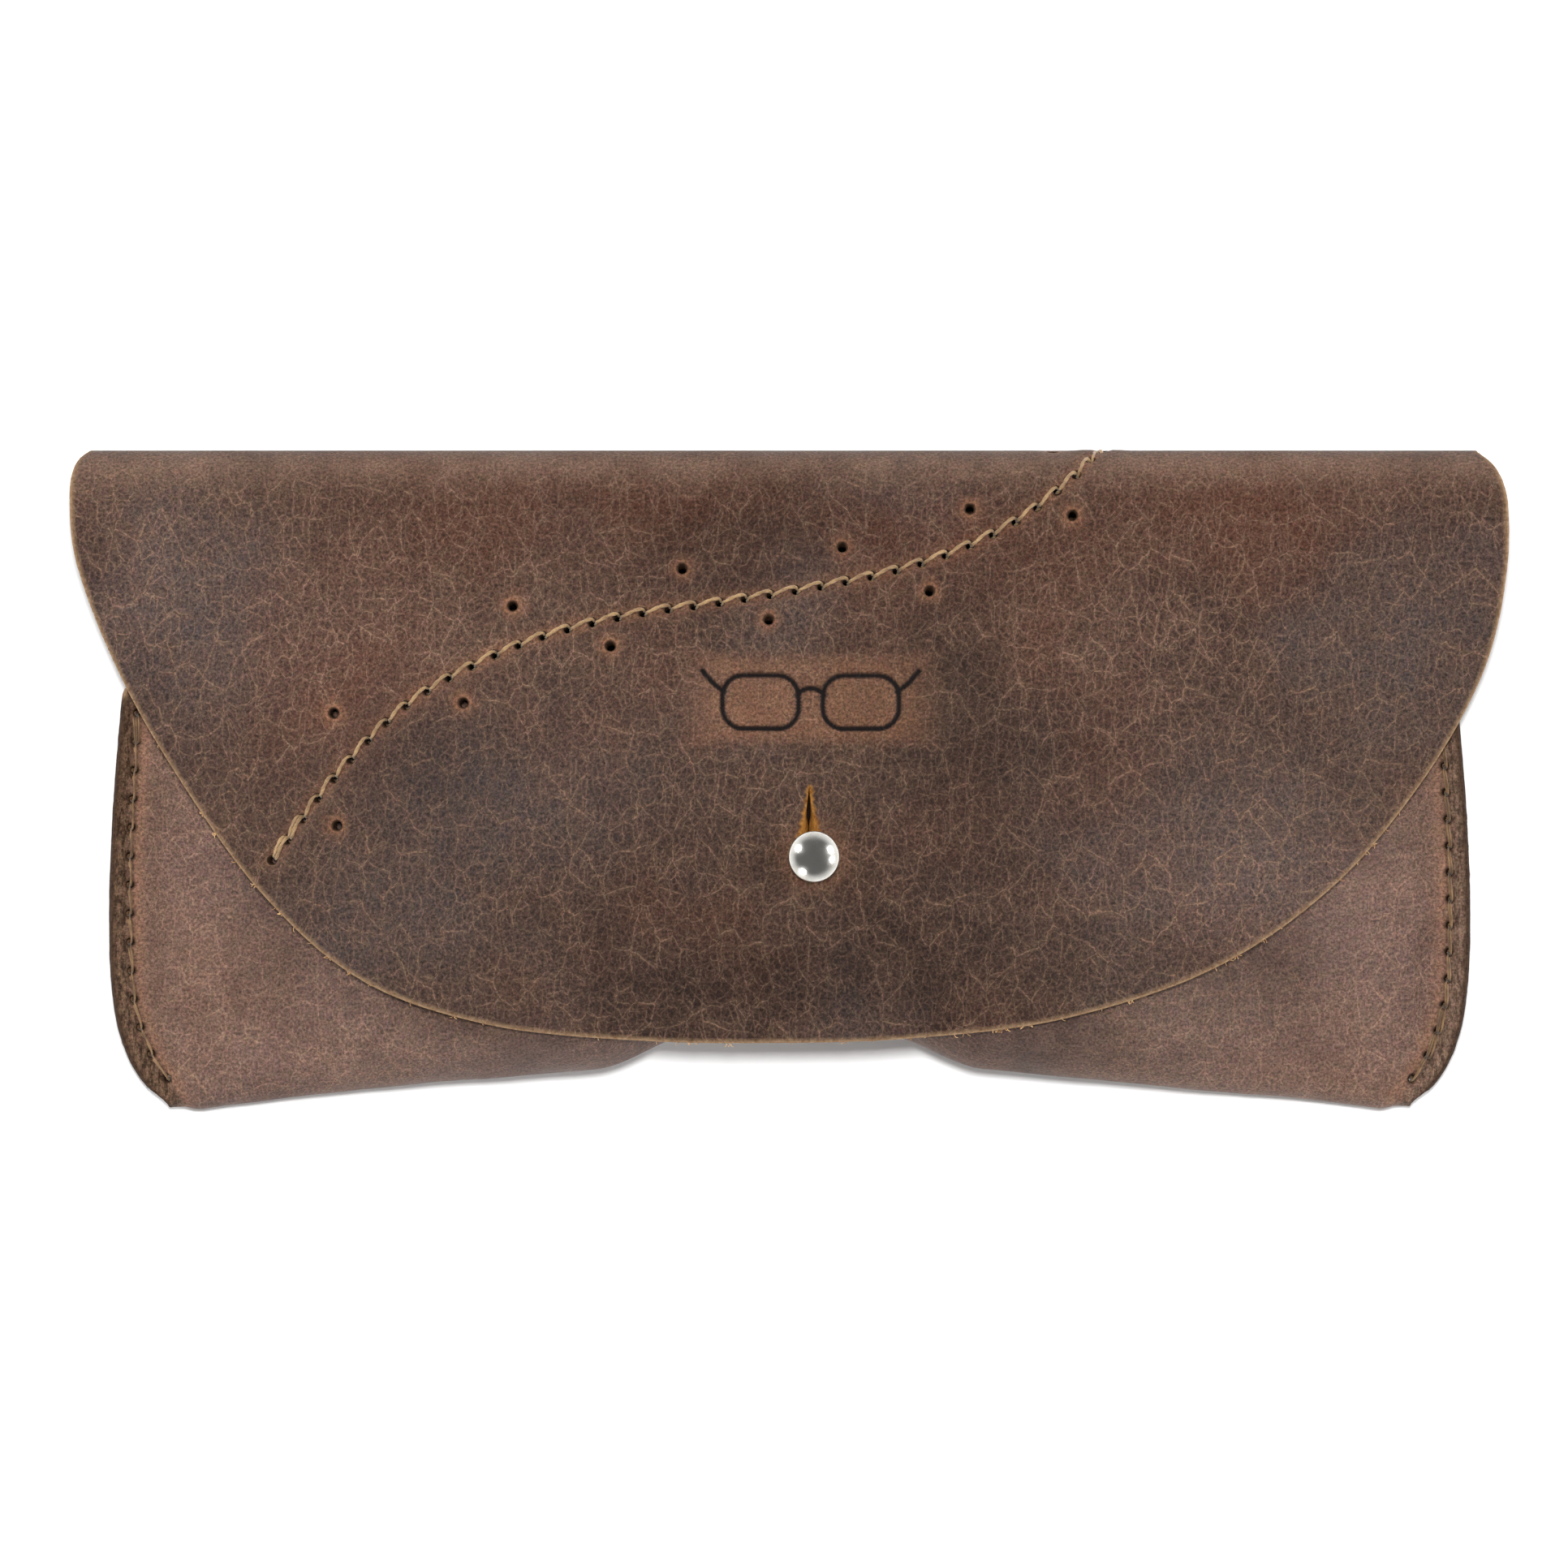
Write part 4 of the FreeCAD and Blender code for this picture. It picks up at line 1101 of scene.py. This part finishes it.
class Graph:
    """A material's node tree, built by short calls. Inputs are sockets, numbers or colours."""

    def __init__(self, name):
        self.material = bpy.data.materials.new(name)
        self.material.use_nodes = True
        self.tree = self.material.node_tree
        self.tree.nodes.clear()
        self.output = self.tree.nodes.new("ShaderNodeOutputMaterial")

    def node(self, kind, inputs=None, **settings):
        made = self.tree.nodes.new("ShaderNode" + kind)
        for key, value in settings.items():
            setattr(made, key, value)
        for key, value in (inputs or {}).items():
            self.put(made.inputs[key], value)
        return made

    def put(self, socket, value):
        if isinstance(value, bpy.types.NodeSocket):
            self.tree.links.new(value, socket)
        else:
            socket.default_value = value

    def math(self, operation, a, b):
        return self.node("Math", {0: a, 1: b}, operation=operation).outputs[0]

    def add(self, a, b):
        return self.math("ADD", a, b)

    def times(self, a, b):
        return self.math("MULTIPLY", a, b)

    def most(self, a, b):
        return self.math("MAXIMUM", a, b)

    def vector(self, operation, a, b):
        return self.node("VectorMath", {0: a, 1: b}, operation=operation).outputs[0]

    def moved(self, place, x, y):
        return self.vector("ADD", place, (x, y, 0.0))

    def scaled(self, place, factors):
        return self.vector("MULTIPLY", place, factors)

    def darkened(self, color, value):
        """A colour times one number."""
        grey = self.node("CombineXYZ", {0: value, 1: value, 2: value}).outputs[0]
        return self.vector("MULTIPLY", color, grey)

    def mix(self, share, a, b, blend="MIX"):
        made = self.node("Mix", data_type="RGBA", blend_type=blend)
        self.put(made.inputs[0], share)
        self.put(made.inputs[6], a)
        self.put(made.inputs[7], b)
        return made.outputs[2]

    def layers(self, base, *layers):
        """A base colour with others mixed over it in turn, each given as its share and its srgb values."""
        for share, color in layers:
            base = self.mix(share, base, srgb(*color))
        return base

    def mix_values(self, share, a, b):
        return self.node("Mix", {0: share, 2: a, 3: b}, data_type="FLOAT").outputs[0]

    def between(self, value, low, high, start=0.0, end=1.0):
        """A smooth step of the value from low to high."""
        keys = {0: value, 1: low, 2: high, 3: start, 4: end}
        return self.node("MapRange", keys, interpolation_type="SMOOTHSTEP").outputs[0]

    def noise(self, place, scale, detail=2.0, rough=0.5, color=False):
        keys = {"Vector": place, "Scale": scale, "Detail": detail, "Roughness": rough}
        return self.node("TexNoise", keys).outputs["Color" if color else "Fac"]

    def attribute(self, name, output="Fac"):
        return self.node("Attribute", attribute_name=name).outputs[output]

    def object_place(self):
        return self.node("TexCoord").outputs["Object"]

    def bump(self, height, strength, distance):
        keys = {"Height": height, "Strength": strength, "Distance": distance}
        return self.node("Bump", keys).outputs[0]

    def warp(self, place, scale, amount, detail=1.0):
        """A place pushed about by noise, by up to half the amount each way."""
        shift = self.vector("SUBTRACT", self.noise(place, scale, detail, color=True), (0.5, 0.5, 0.5))
        return self.vector("ADD", place, self.scaled(shift, (amount, amount, amount)))

    def cells(self, place, width, height, seed):
        """Distance from the nearest line of a web of cells, in cell widths."""
        at = self.moved(self.scaled(place, (1.0 / width, 1.0 / height, 1.0 / width)), seed, seed * 0.7)
        made = self.node("TexVoronoi", feature="DISTANCE_TO_EDGE", voronoi_dimensions="2D")
        self.put(made.inputs["Vector"], at)
        self.put(made.inputs["Scale"], 1.0)
        return made.outputs["Distance"]

    def finish(self, **keys):
        """Ends the graph in a principled shader, with these values for its inputs."""
        inputs = {key.replace("_", " "): value for key, value in keys.items()}
        shader = self.node("BsdfPrincipled", inputs).outputs[0]
        self.tree.links.new(shader, self.output.inputs["Surface"])
        return self.material


# The hide. Its colours are written as they look in full light, and the tone brings them to the real ones.

LEATHER_TONE = (0.5, 0.51, 0.54, 1.0)
HIDE_MASKS = "cut flesh halo mark seam grain worn burnish fresh ruddy dusty deep pale".split()


def hide_creases(g, place, m):
    """Large, medium and small webs of creases, bent by noise, that fade in and out."""
    bent = g.warp(g.warp(g.warp(place, 0.1, 3.0), 0.42, 1.2), 1.1, 0.6, 2.0)
    m.large = g.cells(bent, 2.8, 5.2, 3.0)
    medium = g.cells(g.moved(bent, 0.7, 0.4), 1.45, 2.4, 11.0)
    small = g.cells(g.warp(place, 1.3, 0.7, 2.0), 0.9, 1.2, 23.0)
    m.small_line = g.between(small, 0.0, 0.14, 1.0, 0.0)
    large_fade = g.between(g.noise(place, 0.2, 4.0), 0.32, 0.6, 0.25, 1.0)
    medium_fade = g.between(g.noise(g.moved(place, 40.0, 9.0), 0.3, 4.0), 0.33, 0.62, 0.12, 1.0)
    m.strong = g.times(g.between(m.large, 0.0, 0.038, 1.0, 0.0), large_fade)
    m.fine = g.times(g.between(medium, 0.0, 0.066, 1.0, 0.0), medium_fade)
    lines = g.most(g.times(m.strong, 0.72), g.times(m.fine, 0.6))
    lines = g.most(lines, g.times(m.small_line, 0.22))
    around = g.times(g.between(m.large, 0.0, 0.14, 0.2, 0.0), large_fade)
    around = g.most(around, g.times(g.between(medium, 0.0, 0.2, 0.18, 0.0), medium_fade))
    web_patch = g.between(g.noise(g.moved(place, 60.0, 20.0), 0.05, 2.0), 0.36, 0.5)
    m.lines = g.times(g.most(lines, around), g.most(m.grain, web_patch))


def hide_wrinkles(g, place, m):
    """Nearly level wrinkles, for the smoother leaf."""
    turned = g.node("VectorRotate", {"Vector": g.warp(place, 0.35, 2.0), "Angle": 0.22}).outputs[0]
    wrinkle = g.noise(g.scaled(turned, (0.3, 1.25, 1.0)), 1.0, 4.0, 0.65)
    m.wrinkle = g.between(wrinkle, 0.38, 0.58)
    m.smooth = g.math("SUBTRACT", 1.0, m.grain)


def grain_base(g, place, m):
    """Brown leather with clouds, ruddy patches, grey patches of wax bloom with painted sheen, and dark
    specks.
    """
    m.cloud = g.between(g.noise(place, 0.03, 3.0, 0.55), 0.38, 0.62)
    m.mottle = g.noise(place, 0.2, 5.0, 0.7)
    m.speckle = g.noise(place, 1.6, 3.0, 0.75)
    red_cloud = g.between(g.noise(g.moved(place, 9.0, 70.0), 0.035, 3.0), 0.45, 0.68)
    # Grey patches, from noise and from the listed patches: wax bloom, and a painted sheen where the lights
    # reflect.
    cool = g.between(g.noise(g.moved(place, 5.0, 31.0), 0.026, 3.0), 0.48, 0.64, 0.0, 0.5)
    return g.layers(
        g.mix(m.cloud, srgb(74, 55, 47), srgb(88, 67, 56)),
        (g.most(g.times(red_cloud, 0.45), g.times(m.ruddy, 0.7)), (112, 68, 50)),
        (g.most(cool, g.times(m.dusty, 0.7)), (100, 88, 84)),
        (g.between(m.mottle, 0.35, 0.68, 0.0, 0.45), (110, 82, 66)),
        (g.between(m.speckle, 0.3, 0.56, 0.6, 0.0), (46, 34, 30)),
        (g.times(m.lines, g.between(m.speckle, 0.25, 0.6, 0.6, 1.0)), (172, 134, 108)),
    )


def smooth_leaf(g, base, m):
    """The paler, smoother leather of the pouch's front, over the base where the grain is low."""
    leaf = g.mix(g.between(m.cloud, 0.0, 1.0), srgb(144, 114, 102), srgb(152, 121, 104))
    base = g.mix(g.times(m.smooth, g.between(m.mottle, 0.3, 0.7, 0.75, 1.1)), base, leaf)
    # Darker colour in the furrows of the wrinkles: painted shade.
    furrow = g.times(g.times(m.smooth, m.smooth), g.between(m.wrinkle, 0.0, 1.0, 0.8, 0.0))
    return g.layers(base, (furrow, (90, 69, 58)), (g.times(m.lines, m.smooth), (190, 148, 120)))


def seam_strip(g, place):
    """The rubbed margin outside a seam: darker on the left, paler on the right."""
    streak = g.between(g.noise(g.scaled(place, (1.6, 0.5, 1.0)), 1.1, 4.0, 0.8), 0.38, 0.62)
    dark = g.mix(streak, srgb(62, 44, 32), srgb(148, 114, 88))
    pale = g.mix(streak, srgb(98, 76, 62), srgb(172, 138, 114))
    across = g.node("SeparateXYZ", {0: place}).outputs[0]
    return g.mix(g.between(across, -40.0, 40.0, 0.0, 0.8), dark, pale)


def grain_color(g, place, m):
    """Colour of the grain side: base, smooth leaf, wear with a painted highlight on the folds, the pictogram
    and a painted shadow under the slit, then painted shade and highlight.
    """
    base = smooth_leaf(g, grain_base(g, place, m), m)
    base = g.layers(
        base,
        # Paler on the folds: pull-up and wear, and a painted highlight.
        (g.times(m.worn, g.between(m.mottle, 0.3, 0.7, 0.35, 0.8)), (158, 124, 102)),
        (g.times(m.halo, g.between(m.speckle, 0.2, 0.8, 0.55, 0.95)), (172, 120, 88)),
    )
    base = g.mix(g.times(m.seam, 0.92), base, seam_strip(g, place))
    # Painted shade where the deep patches are and painted highlight where the pale ones are, with some
    # darker and paler tone of the leather.
    shade = g.add(g.times(m.deep, g.between(m.mottle, 0.2, 0.8, -0.42, -0.22)), g.times(m.pale, 0.34))
    base = g.darkened(base, g.add(1.0, shade))
    tinge = g.noise(place, 1.1, 3.0, 0.7, color=True)
    base = g.mix(0.16, base, g.scaled(tinge, (2.0, 2.0, 2.0)), "MULTIPLY")
    base = g.darkened(base, g.between(g.noise(place, 2.9, 2.0, 0.8), 0.3, 0.7, 0.55, 1.5))
    # Dark lines of the burnt pictogram on the flap, and a painted shadow under the slit on the pouch.
    return g.mix(m.mark, base, srgb(30, 23, 22))


def raw_color(g, base, m):
    """The suede side and the cut edges over the grain side's colour."""
    strand = g.between(m.fibre, 0.3, 0.7)
    suede = g.mix(strand, srgb(128, 92, 66), srgb(178, 136, 102))
    raw = g.mix(strand, srgb(168, 126, 88), srgb(224, 186, 142))
    dressed = g.mix(strand, srgb(56, 40, 31), srgb(108, 80, 60))
    orange = g.mix(strand, srgb(150, 84, 24), srgb(240, 172, 84))
    # The dark dressed colour is on the seam edges, and on the walls of the holes as painted shade inside
    # them.
    raw = g.mix(m.fresh, g.mix(m.burnish, raw, dressed), orange)
    base = g.mix(m.cut, g.mix(m.inner, base, suede), raw)
    return g.mix(1.0, base, LEATHER_TONE, "MULTIPLY")


def hide_relief(g, m):
    """Fine relief: creases, specks and wrinkles on the grain side, fibres on the rest."""
    relief = g.times(g.add(g.times(m.strong, -0.5), g.times(m.fine, -0.35)), m.grain)
    relief = g.add(relief, g.times(g.between(m.large, 0.0, 0.4), 0.25))
    relief = g.add(relief, g.times(m.small_line, -0.12))
    relief = g.add(relief, g.times(m.speckle, 0.3))
    relief = g.add(relief, g.times(g.times(m.wrinkle, m.smooth), 0.5))
    relief = g.times(relief, g.math("SUBTRACT", 1.0, m.inner))
    relief = g.add(relief, g.times(g.times(m.fibre, 1.6), g.most(m.inner, m.cut)))
    return g.bump(relief, 0.6, 0.00022)


def make_hide():
    """Waxed, pulled-up brown leather: grain side, suede flesh side and raw cut edges."""
    g = Graph("waxed_hide")
    place = g.scaled(g.attribute("flat", "Vector"), (1000.0, 1000.0, 1000.0))
    m = SimpleNamespace(**{name: g.attribute(name) for name in HIDE_MASKS})
    m.inner = g.between(m.flesh, 0.7, 0.95)
    m.fibre = g.noise(g.scaled(place, (1.0, 1.0, 5.0)), 1.6, 5.0, 0.75)
    hide_creases(g, place, m)
    hide_wrinkles(g, place, m)
    color = raw_color(g, grain_color(g, place, m), m)
    gloss = g.between(g.noise(place, 0.09, 3.0), 0.3, 0.7, 0.5, 0.66)
    gloss = g.mix_values(g.most(m.inner, m.cut), g.add(gloss, g.times(m.lines, 0.12)), 0.92)
    return g.finish(Base_Color=color, Roughness=gloss, Normal=hide_relief(g, m), Specular_IOR_Level=0.16,
                    Sheen_Weight=g.times(m.inner, 0.35), Sheen_Roughness=0.5)


def make_thread(name, dark, light):
    """Waxed thread with fine fibres."""
    g = Graph(name)
    place = g.object_place()
    fibre = g.noise(place, 5200.0, 4.0, 0.7)
    color = g.mix(g.between(g.noise(place, 700.0, 3.0), 0.3, 0.7), dark, light)
    color = g.mix(g.between(fibre, 0.35, 0.7, 0.0, 0.55), color, srgb(110, 82, 52))
    return g.finish(Base_Color=color, Roughness=0.55, Normal=g.bump(fibre, 0.5, 0.00006), Sheen_Weight=0.25)


def make_fibre():
    """The raw leather's loose fibres."""
    g = Graph("leather_fibre")
    tint = g.between(g.noise(g.object_place(), 900.0, 2.0), 0.3, 0.7)
    color = g.mix(tint, srgb(160, 110, 62), srgb(214, 172, 118))
    return g.finish(Base_Color=color, Roughness=0.9, Sheen_Weight=0.3)


def make_metal(name, roughness, scratch):
    """Polished steel with faint hairlines and smears."""
    g = Graph(name)
    place = g.object_place()
    hair = g.noise(g.scaled(place, (9000.0, 700.0, 900.0)), 1.0, 3.0, 0.6)
    smear = g.noise(place, 420.0, 3.0)
    gloss = g.add(g.between(smear, 0.3, 0.75, roughness, roughness * 1.9), g.times(hair, scratch))
    color = g.mix(g.between(smear, 0.3, 0.8), srgb(228, 226, 220), srgb(206, 202, 194))
    return g.finish(Base_Color=color, Metallic=1.0, Roughness=gloss, Normal=g.bump(hair, 0.12, 0.00001))


def make_floor():
    g = Graph("pale_floor")
    tint = g.between(g.noise(g.object_place(), 40.0, 4.0, 0.6), 0.3, 0.7)
    color = g.mix(tint, (0.95, 0.95, 0.95, 1.0), (0.97, 0.97, 0.97, 1.0))
    return g.finish(Base_Color=color, Roughness=0.9, Specular_IOR_Level=0.1)


def dress(piece, material):
    piece.data.materials.clear()
    piece.data.materials.append(material)


# Camera, lights and floor

VIEW_WIDTH = 0.1944
CAMERA_LENS = 600.0
CAMERA_SENSOR = 36.0
CAMERA_AIM = Vector((-0.0007, -0.00086, 0.012))
LIGHT_AIM = Vector((0.0, 0.0, 0.015))
FLOOR_HALF = 0.55
SOFTBOXES = {
    "left_softbox": ((-0.7, 0.36, 0.42), (0.18, 0.18), 3.2),
    "right_softbox": ((0.72, 0.28, 0.4), (0.24, 0.16), 2.6),
    "low_right_softbox": ((0.72, -0.12, 0.36), (0.16, 0.12), 1.2),
    "front_softbox": ((-0.45, -0.6, 0.34), (0.18, 0.18), 1.5),
}


def build_camera():
    """A camera straight above, far enough away for almost no perspective."""
    data = bpy.data.cameras.new("camera")
    data.lens = CAMERA_LENS
    data.sensor_width = CAMERA_SENSOR
    distance = VIEW_WIDTH * CAMERA_LENS / CAMERA_SENSOR
    data.clip_start, data.clip_end = 0.1, 20.0
    camera = bpy.data.objects.new("camera", data)
    camera.location = CAMERA_AIM + Vector((0.0, 0.0, distance))
    bpy.context.scene.collection.objects.link(camera)
    bpy.context.scene.camera = camera


def soft_light(name, place, size, watts):
    data = bpy.data.lights.new(name, "AREA")
    data.shape = "RECTANGLE"
    data.size, data.size_y = size
    data.energy = watts
    made = bpy.data.objects.new(name, data)
    made.location = place
    made.rotation_mode = "QUATERNION"
    made.rotation_quaternion = (LIGHT_AIM - Vector(place)).to_track_quat("-Z", "Y")
    made.visible_camera = False
    bpy.context.scene.collection.objects.link(made)
    return made


def build_studio():
    """A light high above, that the ball doesn't show, and soft lights round the object."""
    overhead = soft_light("overhead", (0.0, 0.2, 3.0), (0.2, 0.2), 76.0)
    overhead.visible_glossy = False
    for name, (place, size, watts) in SOFTBOXES.items():
        soft_light(name, place, size, watts)
    bpy.context.scene.view_settings.view_transform = "Standard"


def build_surroundings():
    """White surroundings, bright at the horizon and dim above."""
    world = bpy.data.worlds.new("studio")
    world.use_nodes = True
    nodes, links = world.node_tree.nodes, world.node_tree.links
    background = nodes["Background"]
    background.inputs["Color"].default_value = (1.0, 1.0, 1.0, 1.0)
    split = nodes.new("ShaderNodeSeparateXYZ")
    links.new(nodes.new("ShaderNodeTexCoord").outputs["Generated"], split.inputs[0])
    fall = nodes.new("ShaderNodeMapRange")
    fall.interpolation_type = "SMOOTHSTEP"
    for socket, value in ((1, 0.05), (2, 0.5), (3, 1.0), (4, 0.14)):
        fall.inputs[socket].default_value = value
    links.new(split.outputs["Z"], fall.inputs[0])
    links.new(fall.outputs[0], background.inputs["Strength"])
    bpy.context.scene.world = world


def build_floor():
    corners = np.array([(-1.0, -1.0, 0.0), (1.0, -1.0, 0.0), (1.0, 1.0, 0.0), (-1.0, 1.0, 0.0)])
    floor = make_mesh("floor", corners * FLOOR_HALF / MM, [(0, 1, 2, 3)])
    dress(floor, make_floor())


# The model

build_camera()
hide = make_hide()
waxed = make_thread("waxed_thread", srgb(132, 104, 72), srgb(176, 144, 102))
# A darker copy of the waxed thread for the seams: painted shade of the thread lying down in the seam's
# groove.
worn = make_thread("shaded_seam_thread", srgb(88, 65, 44), srgb(146, 114, 78))
pouch = build_pouch()
flap = build_flap()
decor = build_decor_thread()
left_seam = build_seam_thread("left_seam_stitching", LEFT_HOLES, "left_seam_thread", 0.0, (0,))
right_seam = build_seam_thread("right_seam_stitching", RIGHT_HOLES, "right_seam_thread", 0.12, (11, 12))
fibres = build_fibres()
stud = build_stud()
looks = [
    (pouch, hide), (flap, hide), (decor, waxed), (left_seam, worn), (right_seam, worn),
    (fibres, make_fibre()),
    (stud, make_metal("polished_stud", 0.14, 0.05)),
    (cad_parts["stud_screw"], make_metal("turned_screw", 0.2, 0.12)),
]
for piece, material in looks:
    dress(piece, material)

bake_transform(pouch)
for piece in (flap, decor):
    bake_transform(piece)
for piece in (left_seam, right_seam, stud):
    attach(piece, "pouch")
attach(fibres, "flap")

build_studio()
build_surroundings()
build_floor()
